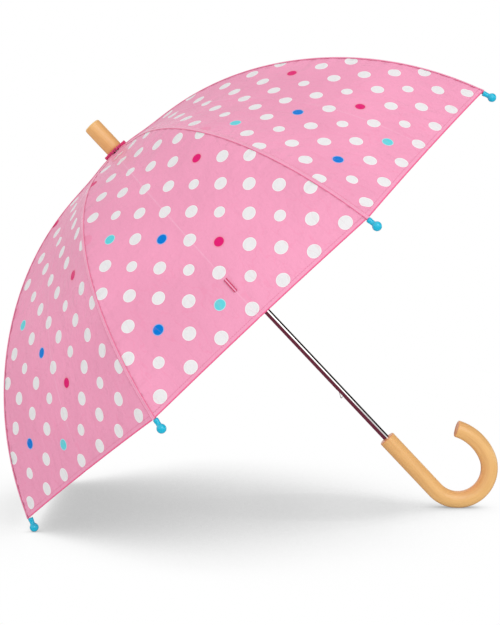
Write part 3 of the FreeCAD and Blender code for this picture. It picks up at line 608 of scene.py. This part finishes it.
def tack_material(finish, canopy, width):
    """Close satin stitches along both sides of a narrow bar, with the fabric showing between them, painted
    lighter than the canopy as a highlight along the bar.
    """
    stitch_pitch = 0.0006
    nodes = MaterialNodes("crimson_thread")
    at = nodes.add("SeparateXYZ", {0: nodes.uv()})
    stitches = nodes.math("SINE", nodes.times(at.outputs["Y"], 2 * math.pi / stitch_pitch))
    side = nodes.ramp(nodes.away_from(at.outputs["X"], width / 2), 0.14 * width, 0.22 * width)
    # painted shade: the thread darkens in the grooves between the stitches
    thread = nodes.clouded(nodes.ramp(stitches, -1.0, 1.0), finish.tack, 0.8)
    # the pale middle is the fabric between the stitch rows, made lighter as a painted highlight
    nodes.set(Base_Color=nodes.mix(side, rgba(canopy.pink, 1.2), thread), Roughness=0.5,
              Normal=nodes.bump(stitches, 0.0002, 0.6), Sheen_Weight=0.2)
    return nodes.material


def paint(node, material):
    """Gives a CAD node a material."""
    mesh = frame["nodes"][node].data
    mesh.materials.clear()
    mesh.materials.append(material)


# --- The canopy ---------------------------------------------------------------


def panel_point(n, side, t, s, canopy, lift=0.0):
    """A point of the fabric's inside: t runs from rib n at 0 to the crease at 1, s down the rib."""
    crease_width, crease_full_at = 0.0022, 0.06
    other = n + side
    share = max(s / canopy.end, 0.0)
    s_here = s - canopy.hem_rise * share**3 * (1 - (1 - t) ** 2)
    rise = canopy.rise + apex_height(s_here, canopy)
    near, far = rib_point(n, s_here, rise), rib_point(other, s_here, rise)
    point = near.lerp(far, t / 2)
    out = outward(n, side, t, s_here)
    width = (far - near).length / 2
    sag = canopy.sag * math.sin(math.pi * min(share, 1.0) ** 0.8) * math.sin(math.pi / 2 * t)
    from_crease = (1 - t) * width
    crease = canopy.crease * math.exp(-((from_crease / crease_width) ** 2))
    crease *= max(0.0, min(1.0, s / crease_full_at))
    pucker = puckers(t * width, s, share, n * 2 + side)
    hem = HEM_LIFT if canopy.end - s < canopy.hem_width else 0.0
    return point + out * (crease + pucker + hem + lift - sag)


def apex_height(s, canopy):
    """How much higher than the ribs' backs the fabric runs near the washer."""
    return canopy.apex_rise * math.exp(-((s / canopy.apex_reach) ** 2))


def puckers(away, s, share, seed):
    """Height of the small gathers beside a seam, away metres from it."""
    whole_turn = 2 * math.pi * s
    fade = math.exp(-away / 0.016) * (1 - math.exp(-away / 0.003))
    short = math.sin(whole_turn / 0.017 + seed * 1.7) + 0.6 * math.sin(whole_turn / 0.0093 + seed * 2.9)
    long = math.sin(whole_turn / 0.061 + seed) * math.exp(-away / 0.05) * min(1.0, away / 0.01)
    return 0.0008 * fade * short * (0.35 + share**2) + 0.0005 * long * share


def outward(n, side, t, s):
    """Direction away from the dome's inside at a point of a panel, ignoring its small relief."""
    near, far = rib_point(n, s), rib_point(n + side, s)
    along = rib_tangent(n, s).lerp(rib_tangent(n + side, s), t / 2)
    return (far - near).cross(along).normalized() * -side


def panel_bands(canopy):
    """The bands of a half panel: each one's name, its body's name before the rib's number, its first and last
    place along the rib, its rows of faces, and the share of its width that it keeps when folded."""
    bands = []
    first = canopy.start
    for name, last, keep in UPPER_BANDS:
        rows = max(4, round(canopy.upper_rows * (last - first) / FLEX_AT))
        bands.append((name, "rib", first, last, rows, keep))
        first = last
    bands.append(("lower", "rib_end", FLEX_AT, canopy.end, canopy.lower_rows, canopy.keep))
    return bands


def panel_piece(n, side, band, canopy, material):
    """One band of half a panel beside rib n, with real thickness."""
    part, _, first, last, rows, _ = band

    def params(a, b):
        return (a if side > 0 else 1 - a), first + (last - first) * b

    def place(a, b):
        t, s = params(a, b)
        return panel_point(n, side, t, s, canopy, canopy.thickness)

    bm = mapped_grid(canopy.columns, rows, place)
    uv = bm.loops.layers.uv.active
    edge = bm.loops.layers.uv.new("edge")
    mark = bm.verts.layers.float_vector.new("spot")
    for face in bm.faces:
        for loop in face.loops:
            t, s = params(*loop[uv].uv)
            loop.vert[mark] = (t, s, 1.0)
            width = (rib_point(n, s) - rib_point(n + side, s)).length / 2
            sideways = (t - 1) * width * side
            loop[uv].uv = (sideways, crease_length(s))
            loop[edge].uv = (sideways, canopy.end - s)
    area = sum(face.calc_area() for face in bm.faces)
    close_sheet(bm, n, side, canopy, mark)
    piece = new_piece(f"panel_{n}_{'next' if side > 0 else 'last'}_{part}", bm, material)
    keep_seamless(piece, n, side, canopy)
    return piece, area


def close_sheet(bm, n, side, canopy, mark):
    """Gives a fabric sheet its inner face and its rim."""
    outer = list(bm.faces)
    rim = [e for e in bm.edges if e.is_boundary]
    copy = bmesh.ops.duplicate(bm, geom=list(bm.verts) + list(bm.edges) + outer)
    inner = [g for g in copy["geom"] if isinstance(g, bmesh.types.BMFace)]
    for vert in {v for face in inner for v in face.verts}:
        t, s, _ = vert[mark]
        vert[mark] = (t, s, -1.0)
        vert.co = panel_point(n, side, t, s, canopy)
    bmesh.ops.reverse_faces(bm, faces=inner)
    inner_rim = [copy["edge_map"][e] for e in rim]
    bmesh.ops.bridge_loops(bm, edges=rim + inner_rim)
    bmesh.ops.recalc_face_normals(bm, faces=bm.faces)


def keep_seamless(piece, n, side, canopy):
    """Sets the normals from the whole dome, so that neighbouring sheets shade as one."""
    mesh = piece.data
    known = {}
    normals = []
    for spot in mesh.attributes["spot"].data:
        t, s, face_side = spot.vector
        if (t, s) not in known:
            known[t, s] = dome_normal(n, side, t, s, canopy)
        normals.append(known[t, s] * face_side)
    mesh.normals_split_custom_set_from_vertices(normals)
    mesh.attributes.remove(mesh.attributes["spot"])


def dome_normal(n, side, t, s, canopy):
    """Normal of the fabric at a point, the same on both sides of a split."""
    step, step_across = 0.002, 0.02
    low, high = max(t - step_across, 0.0), min(t + step_across, 1.0)
    down = panel_point(n, side, t, s + step, canopy) - panel_point(n, side, t, s - step, canopy)
    if t > 0.999:
        sideways = across(rib_azimuth(n) + side * HALF_PITCH) * side
    else:
        sideways = panel_point(n, side, high, s, canopy) - panel_point(n, side, low, s, canopy)
    return sideways.cross(down).normalized() * -side


def fold_axis(n, side, first, last, canopy):
    """Direction and anchor along which a half panel gathers towards its rib when the umbrella folds."""
    middle = (first + last) / 2
    rib = rib_point(n, middle, canopy.rise)
    crease = panel_point(n, side, 1.0, middle, canopy)
    chord = (rib_point(n, last) - rib_point(n, first)).normalized()
    gather = crease - rib
    gather -= chord * gather.dot(chord)
    return gather.normalized(), rib


class UMBRELLA_OT_canopy(bpy.types.Operator):
    """Sew the dotted canopy"""

    bl_idname = "umbrella.canopy"
    bl_label = "Canopy"

    def execute(self, context):
        canopy = settings()[0]
        fabric = fabric_material("dotted_polyester", canopy)
        for n in range(1, RIBS + 1):
            for side in (1, -1):
                for band in panel_bands(canopy):
                    self.sew(n, side, band, canopy, fabric)
        return {"FINISHED"}

    def sew(self, n, side, band, canopy, fabric):
        """One band of a half panel, with the body that it rides on."""
        part, body, first, last, _, keep = band
        piece, area = panel_piece(n, side, band, canopy, fabric)
        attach(piece, f"{body}_{n}")
        axis, anchor = fold_axis(n, side, first, last, canopy)
        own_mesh(piece)
        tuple(axis)
        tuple(anchor)
        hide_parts(f"canopy_gore_{n}")
        width = (rib_point(n, last) - rib_point(n + 1, last)).length / 2 * 1.03


def seam_profile(a):
    """Height of the felled seam across its width, a from 0 to 1: two low ridges, the needle line between."""
    ridge_height, ridge_width, tucked = 0.0005, 0.15, -0.0002
    ridge = sum(ridge_height * math.exp(-(((a - middle) / ridge_width) ** 2)) for middle in (0.28, 0.72))
    return ridge if 0.01 < a < 0.99 else tucked


class UMBRELLA_OT_seams(bpy.types.Operator):
    """Add the felled seam that runs down every rib"""

    bl_idname = "umbrella.seams"
    bl_label = "Seams"
    width = 0.0048

    def execute(self, context):
        canopy = settings()[0]
        material = seam_material(canopy, self.width)
        for n in range(1, RIBS + 1):
            self.seam(n, canopy, material)
        return {"FINISHED"}

    def seam(self, n, canopy, material):
        """The felled seam on rib n, which follows the rib's curve past its flexing place."""
        first, last = canopy.start + 0.001, canopy.end
        sideways = across(rib_azimuth(n))

        def place(a, b):
            s = first + (last - first) * b
            rise = canopy.rise + canopy.thickness + apex_height(s, canopy) + seam_profile(a)
            rise += HEM_LIFT if last - s < canopy.hem_width else 0.0
            narrow = min(1.0, 0.45 + s / 0.10)
            return rib_point(n, s, rise) + sideways * ((a - 0.5) * self.width * narrow)

        bm = mapped_grid(12, 130, place)
        scale_uv(bm, self.width, last - first)
        bmesh.ops.solidify(bm, geom=bm.faces[:], thickness=0.0002)
        bmesh.ops.recalc_face_normals(bm, faces=bm.faces)
        piece = new_piece(f"seam_{n}", bm, material)
        step = rib_tangent(n, FLEX_AT) * 0.006
        flex = rib_point(n, FLEX_AT)
        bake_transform(piece)


class UMBRELLA_OT_apex(bpy.types.Operator):
    """Gather the canopy's points round the shaft and add the pinked washer"""

    bl_idname = "umbrella.apex"
    bl_label = "Apex and washer"
    pleats, ruff_height, pinking = 28, 0.0042, 0.0006
    gather_radius, gather_flat, gather_drop = 0.0198, 0.0115, 0.0048

    def execute(self, context):
        canopy, finish, _ = settings()
        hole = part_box("shaft")[1].x + 0.0003
        self.gather(canopy, hole)
        self.washer(finish, hole)
        return {"FINISHED"}

    def gather(self, canopy, hole):
        """The fabric's gathered points: a small dome over the crown, under the washer."""
        base = rib_point(1, 0.0, canopy.rise + apex_height(0.0, canopy) + canopy.thickness).z + 0.0006
        sloping = self.gather_radius - self.gather_flat

        def gathered(a, b):
            turn = 2 * math.pi * a
            radius = hole + (self.gather_radius - hole) * b
            pleat = 0.0002 * math.sin(turn * 2 * RIBS) * math.sin(math.pi * b)
            drop = 0.0004 * b * b + self.gather_drop * max(0.0, (radius - self.gather_flat) / sloping) ** 1.5
            return round_shaft(radius, turn, base - drop + pleat)

        bm = mapped_grid(192, 20, gathered)
        bmesh.ops.remove_doubles(bm, verts=bm.verts, dist=1e-6)
        area = thicken(bm, canopy.thickness)
        material = plain_cloth_material("apex_cloth", canopy.pink)
        piece = new_piece("apex_gather", bm, material, "umbrella_frame")
        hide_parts("canopy_apex")

    def washer(self, finish, hole):
        """A pinked ribbon gathered into a tight ruff round the shaft."""
        low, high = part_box("pinked_washer")
        radius, level = high.x, low.z - 0.0006
        material = plain_cloth_material("hot_pink_felt", finish.washer)

        def ruffled(a, b):
            turn = 2 * math.pi * a
            pleat = math.sin(turn * self.pleats)
            lean = math.sin(turn * self.pleats + math.pi / 2)
            r = hole + (radius - self.pinking - hole) * b + self.pinking * lean * b**4
            height = self.ruff_height * (0.5 + 0.5 * pleat * b**1.5) + 0.0004 * math.sin(3 * turn)
            return round_shaft(r, turn, level + height)

        bm = mapped_grid(self.pleats * 12, 10, ruffled)
        bmesh.ops.remove_doubles(bm, verts=bm.verts, dist=1e-6)
        area = thicken(bm, 0.0007)
        piece = new_piece("washer_ruff", bm, material, "umbrella_frame", False)
        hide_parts("pinked_washer")


# --- Wood ---------------------------------------------------------------------


class UMBRELLA_OT_handle(bpy.types.Operator):
    """Bend the wooden crook"""

    bl_idname = "umbrella.handle"
    bl_label = "Crook handle"
    grip_end = -0.044
    bend, bend_turn = 0.039, math.radians(160)
    end_bend, end_turn = 0.061, math.radians(50)
    edge = 0.0016

    def execute(self, context):
        finish = settings()[1]
        low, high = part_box("handle")
        radius, top = (high.y - low.y) / 2, high.z
        step = (top - self.grip_end) / 40
        line = [(Vector((0, 0, top - i * step)), Vector((1, 0, 0))) for i in range(40)]
        line += self.arc(Vector((self.bend, 0, self.grip_end)), self.bend, math.pi, self.bend_turn, 70)
        last, inwards = line[-1]
        loose_centre = last + inwards * self.end_bend
        line += self.arc(loose_centre, self.end_bend, math.pi + self.bend_turn, self.end_turn, 24)[1:]
        bm = swept_tube(radius, self.rounded(line, radius), 64)
        piece = new_piece("crook_handle", bm, wood_material(finish, True), "umbrella_frame")
        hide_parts("handle")
        return {"FINISHED"}

    def arc(self, centre, radius, start, turn, steps):
        """Points of an arc in the crook's plane, each with the direction towards the arc's centre."""
        made = []
        for i in range(steps + 1):
            angle = start + turn * i / steps
            spoke = Vector((math.cos(angle), 0, math.sin(angle)))
            made.append((centre + spoke * radius, -spoke))
        return made

    def rounded(self, line, radius):
        """Stations for the tube, with softened edges at both flat ends."""
        side = Vector((0, 1, 0))
        middle = [(point, side, inwards, 1.0) for point, inwards in line[1:-1]]
        start, end = self.soft_end(line[0], line[1], radius), self.soft_end(line[-1], line[-2], radius)
        return start + middle + end[::-1]

    def soft_end(self, tip, neighbour, radius):
        """Stations from a flat end inwards, which round the edge between it and the tube's side."""
        point, inwards = tip
        along = (neighbour[0] - point).normalized()
        ring = []
        for i in range(7):
            angle = math.pi / 2 * (1 - i / 6)
            depth, cut = self.edge * (1 - math.sin(angle)), self.edge * (1 - math.cos(angle))
            ring.append((point + along * depth, Vector((0, 1, 0)), inwards, 1 - cut / radius))
        return ring


class UMBRELLA_OT_ferrule(bpy.types.Operator):
    """Turn the wooden ferrule"""

    bl_idname = "umbrella.ferrule"
    bl_label = "Ferrule"

    def execute(self, context):
        finish = settings()[1]
        low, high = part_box("ferrule")
        radius, bottom, top = high.x, low.z, high.z
        edge, bevel, crown = 0.0024, 0.0005, 0.0005
        side_from = bottom + 2 * bevel
        side = top - side_from - edge
        outline = [(0.0, bottom), (radius - bevel, bottom), (radius, bottom + bevel)]
        for i in range(1, 12):
            swell = 0.0001 * math.sin(math.pi * i / 12)
            outline.append((radius + swell, side_from + side * i / 12))
        for i in range(9):
            angle = math.pi / 2 * i / 8
            cut, rest = edge * (1 - math.cos(angle)), edge * (1 - math.sin(angle))
            outline.append((radius - cut, top - rest - crown))
        outline += [(radius * 0.5, top - 0.0001), (0.0, top)]
        bm = turned(outline, 96)
        piece = new_piece("turned_ferrule", bm, wood_material(finish, False), "umbrella_frame")
        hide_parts("ferrule")
        return {"FINISHED"}


# --- Metal and plastic --------------------------------------------------------


class UMBRELLA_OT_tips(bpy.types.Operator):
    """Mould the ball tips"""

    bl_idname = "umbrella.tips"
    bl_label = "Ball tips"

    def execute(self, context):
        finish = settings()[1]
        material = plastic_material("turquoise_plastic", finish.tip, 0.18)
        ball, neck, sleeve, lip = BALL_RADIUS, 0.0027, 0.0115, 0.00025
        ball_end = ball * math.cos(math.asin(neck / ball)) - 0.0003
        angles = [math.radians(4 * i) for i in range(37)]
        outline = [(ball * math.sin(a), -ball * math.cos(a)) for a in angles if -ball * math.cos(a) < ball_end]
        outline += [(neck + 0.0002, ball * 0.86), (neck, ball * 0.94), (neck, sleeve * 0.7)]
        outline += [(neck + lip, sleeve * 0.73), (neck + lip, sleeve - 0.0004)]
        outline += [(neck - 0.0001, sleeve), (0.0, sleeve)]
        for n in range(1, RIBS + 1):
            bm = turned(outline, 40)
            along = -rib_tangent(n, RIB_END)
            turn = along.to_track_quat("Z", "Y").to_matrix().to_4x4()
            matrix = Matrix.Translation(rib_point(n, BALL_AT)) @ turn
            bmesh.ops.transform(bm, matrix=matrix, verts=bm.verts)
            piece = new_piece(f"ball_tip_{n}", bm, material, f"rib_end_{n}")
            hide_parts(f"tip_{n}")
        return {"FINISHED"}


class UMBRELLA_OT_frame_finish(bpy.types.Operator):
    """Finish the steel and the moulded pieces"""

    bl_idname = "umbrella.frame_finish"
    bl_label = "Frame finish"

    def execute(self, context):
        finish = settings()[1]
        chrome = steel_material("chromed_tube", finish.steel, 0.06, 0.03)
        plated = steel_material("plated_ribs", [c * 0.86 for c in finish.steel], 0.26, 0.2)
        spring = steel_material("spring_steel", [c * 0.7 for c in finish.steel], 0.3, 0.3)
        moulded = plastic_material("white_moulding", finish.moulded, 0.32)
        paint("shaft", chrome)
        for node in ("crown", "runner"):
            paint(node, moulded)
        for node in ("crown_wire", "runner_wire", "top_catch", "bottom_catch"):
            paint(node, spring)
        for node in ("crown_pin", "stop_pin"):
            paint(node, plated)
        for n in range(1, RIBS + 1):
            for node in (f"rib_inner_{n}", f"rib_outer_{n}", f"stretcher_{n}"):
                paint(node, plated)
        return {"FINISHED"}


def crease_band(start, end, width, gap, thickness, canopy):
    """A thin band that follows the front panel's crease, gap metres inside the fabric."""

    def place(a, b):
        s = start + (end - start) * b
        sideways = (a - 0.5) * width
        side, n = (1, FRONT_RIB) if sideways < 0 else (-1, FRONT_RIB + 1)
        half = (rib_point(FRONT_RIB, s) - rib_point(FRONT_RIB + 1, s)).length / 2
        point = panel_point(n, side, 1 - abs(sideways) / half, s, canopy, -gap)
        fold = panel_point(n, side, 1.0, s, canopy, -gap)
        flat = outward(n, side, 1.0, s)
        return point - flat * (point - fold).dot(flat)

    bm = mapped_grid(8, 40, place)
    scale_uv(bm, width, end - start)
    thicken(bm, thickness)
    return bm


class UMBRELLA_OT_strap(bpy.types.Operator):
    """Sew the closing strap inside the front panel, and the tack that anchors it"""

    bl_idname = "umbrella.strap"
    bl_label = "Closing strap"
    width, half_length = 0.015, 0.039
    pad_width, pad_length = 0.013, 0.022
    tack_from, tack_to, tack_width = 0.4125, 0.4310, 0.0036

    def execute(self, context):
        canopy, finish, _ = settings()
        cloth = plain_cloth_material("strap_cloth", canopy.seam_pink)
        pile = plain_cloth_material("fastener_pile", rgba(canopy.pink, 0.8)[:3])
        thread = tack_material(finish, canopy, self.tack_width)
        middle = canopy.strap_at
        start, end = middle - self.half_length, middle + self.half_length
        lie = (start, end, self.width, 0.0012, 0.0008)
        strap = self.sew("strap", "closing_strap", lie, cloth, "canopy_fabric")
        hooks_from, loops_from = middle - 0.031, middle - 0.003
        for name, node, pad_from in (("strap_hooks", "strap_hook_pad", hooks_from),
                                     ("strap_loops", "strap_loop_pad", loops_from)):
            lie = (pad_from, pad_from + self.pad_length, self.pad_width, 0.0022, 0.0006)
            self.sew(name, node, lie, pile, "fastener_fabric")
        lie = (self.tack_from, self.tack_to, self.tack_width, -0.0007, 0.0006)
        self.sew("strap_tack", "strap_tab", lie, thread, "thread_crimson")
        return {"FINISHED"}

    def sew(self, name, node, lie, material, slot):
        """A band on the front panel's crease. Its lie is its start, end, width, depth inside the fabric and
        thickness."""
        canopy = settings()[0]
        bm = crease_band(*lie, canopy)
        piece = new_piece(name, bm, material, f"rib_end_{FRONT_RIB}")
        axis, anchor = fold_axis(FRONT_RIB, 1, FLEX_AT, canopy.end, canopy)
        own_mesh(piece)
        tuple(axis)
        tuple(anchor)
        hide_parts(node)
        return piece


# --- Stage --------------------------------------------------------------------


class UMBRELLA_OT_stage(bpy.types.Operator):
    """Set up the floor, the soft light and the camera"""

    bl_idname = "umbrella.stage"
    bl_label = "Stage"

    def execute(self, context):
        stage = settings()[2]
        self.floor(stage)
        self.backdrop(stage)
        self.lamp(stage)
        self.camera(stage)
        return {"FINISHED"}

    def floor(self, stage):
        """The plane that the open umbrella leans on, lit evenly, with painted soft shade under the canopy, and
        painted dark maroon where reflections meet it.
        """
        level = min(rib_point(n, BALL_AT).dot(FLOOR_NORMAL) for n in range(1, RIBS + 1)) - BALL_RADIUS
        turn = FLOOR_NORMAL.to_track_quat("Z", "Y").to_matrix().to_4x4()
        matrix = Matrix.Translation(FLOOR_NORMAL * level) @ turn
        bm = bmesh.new()
        bmesh.ops.create_grid(bm, x_segments=1, y_segments=1, size=stage.floor_size / 2)
        bmesh.ops.transform(bm, matrix=matrix, verts=bm.verts)
        nodes = MaterialNodes("studio_floor")
        open_share = nodes.add("AmbientOcclusion", {"Distance": stage.shade_reach}, samples=16).outputs["AO"]
        shade = nodes.mix(nodes.ramp(open_share, 0.0, 0.84), rgba((0.36, 0.36, 0.36)), rgba((1.0, 1.0, 1.0)))
        # painted reflection: reflections see the floor dark maroon, as the shaded inside of the canopy
        mirrored = nodes.add("LightPath").outputs["Is Glossy Ray"]
        glow = nodes.add("Emission", {"Color": nodes.mix(mirrored, shade, rgba((0.16, 0.03, 0.055)))})
        behind = nodes.add("NewGeometry").outputs["Backfacing"]
        mixed = nodes.add("MixShader", {0: behind, 1: glow, 2: nodes.add("BsdfTransparent")})
        nodes.put(nodes.tree.nodes["Material Output"], "Surface", mixed)
        mesh = bpy.data.meshes.new("floor")
        bm.to_mesh(mesh)
        bm.free()
        mesh.materials.append(nodes.material)
        linked("floor", mesh)

    def backdrop(self, stage):
        """White behind the umbrella, even light all round it, and a dark card that only reflections meet."""
        bpy.context.scene.view_settings.view_transform = "Standard"
        world = bpy.data.worlds.new("studio")
        world.use_nodes = True
        nodes = Nodes(world.node_tree)
        white = nodes.tree.nodes["Background"]
        white.inputs["Color"].default_value = (1.0, 1.0, 1.0, 1.0)
        direction = nodes.add("TexCoord").outputs["Generated"]
        direction = nodes.vector("NORMALIZE", nodes.vector("MULTIPLY", direction, (1.0, 1.0, 2.2)))
        towards = nodes.add("VectorMath", {0: direction, 1: stage.card}, operation="DOT_PRODUCT")
        card = {"Value": towards.outputs["Value"], "From Min": 0.68, "From Max": 0.65, "To Min": 0.99,
                "To Max": 0.0}
        ray = nodes.add("LightPath").outputs
        dark = nodes.times(nodes.add("MapRange", card), ray["Is Glossy Ray"])
        around = nodes.add("Background", {"Color": nodes.minus(1.0, dark), "Strength": stage.sky})
        seen = nodes.add("MixShader", {0: ray["Is Camera Ray"], 1: around, 2: white})
        nodes.put(nodes.tree.nodes["World Output"], "Surface", seen)
        bpy.context.scene.world = world

    def lamp(self, stage):
        """One large soft lamp, up and to the right of the camera."""
        lamp = bpy.data.lights.new("key", "AREA")
        lamp.shape = "DISK"
        lamp.size = 1.6
        lamp.energy = stage.key_power
        key = linked("key", lamp)
        middle, way = Vector((0.0, 0.0, 0.30)), Vector((1.1, -1.6, 0.25))
        key.location = middle + way
        key.rotation_euler = way.to_track_quat("Z", "Y").to_euler()

    def camera(self, stage):
        """The camera, from its place, its direction and the picture's upper edge."""
        lens = bpy.data.cameras.new("camera")
        lens.lens = stage.lens
        lens.shift_x, lens.shift_y = stage.shift
        lens.clip_start, lens.clip_end = 0.05, 60.0
        eye = linked("camera", lens)
        back = -Vector(stage.gaze).normalized()
        right = Vector(stage.up).cross(back).normalized()
        turn = Matrix((right, back.cross(right), back)).transposed()
        eye.matrix_world = Matrix.Translation(Vector(stage.eye)) @ turn.to_4x4()
        bpy.context.scene.camera = eye


# --- Panel and registration ---------------------------------------------------


OPERATORS = (
    UMBRELLA_OT_stage,
    UMBRELLA_OT_handle,
    UMBRELLA_OT_ferrule,
    UMBRELLA_OT_apex,
    UMBRELLA_OT_seams,
    UMBRELLA_OT_canopy,
    UMBRELLA_OT_tips,
    UMBRELLA_OT_frame_finish,
    UMBRELLA_OT_strap,
)


class UMBRELLA_PT_panel(bpy.types.Panel):
    """Settings and steps of the umbrella"""

    bl_label = "Children's Umbrella"
    bl_space_type = "VIEW_3D"
    bl_region_type = "UI"
    bl_category = "Umbrella"

    def draw(self, context):
        scene = context.scene
        for group in (scene.umbrella_canopy, scene.umbrella_finish, scene.umbrella_stage):
            box = self.layout.box()
            for name in group.__annotations__:
                box.prop(group, name)
        for operator in OPERATORS:
            self.layout.operator(operator.bl_idname)


GROUPS = (UmbrellaCanopy, UmbrellaFinish, UmbrellaStage)


def register():
    for made in GROUPS + OPERATORS + (UMBRELLA_PT_panel,):
        bpy.utils.register_class(made)
    bpy.types.Scene.umbrella_canopy = PointerProperty(type=UmbrellaCanopy)
    bpy.types.Scene.umbrella_finish = PointerProperty(type=UmbrellaFinish)
    bpy.types.Scene.umbrella_stage = PointerProperty(type=UmbrellaStage)


def unregister():
    del bpy.types.Scene.umbrella_canopy
    del bpy.types.Scene.umbrella_finish
    del bpy.types.Scene.umbrella_stage
    for made in reversed(GROUPS + OPERATORS + (UMBRELLA_PT_panel,)):
        bpy.utils.unregister_class(made)


def main():
    register()
    bpy.ops.umbrella.stage()
    bpy.ops.umbrella.handle()
    bpy.ops.umbrella.ferrule()
    bpy.ops.umbrella.apex()
    bpy.ops.umbrella.seams()
    bpy.ops.umbrella.canopy()
    bpy.ops.umbrella.tips()
    bpy.ops.umbrella.frame_finish()
    bpy.ops.umbrella.strap()


if __name__ == "__main__":
    main()
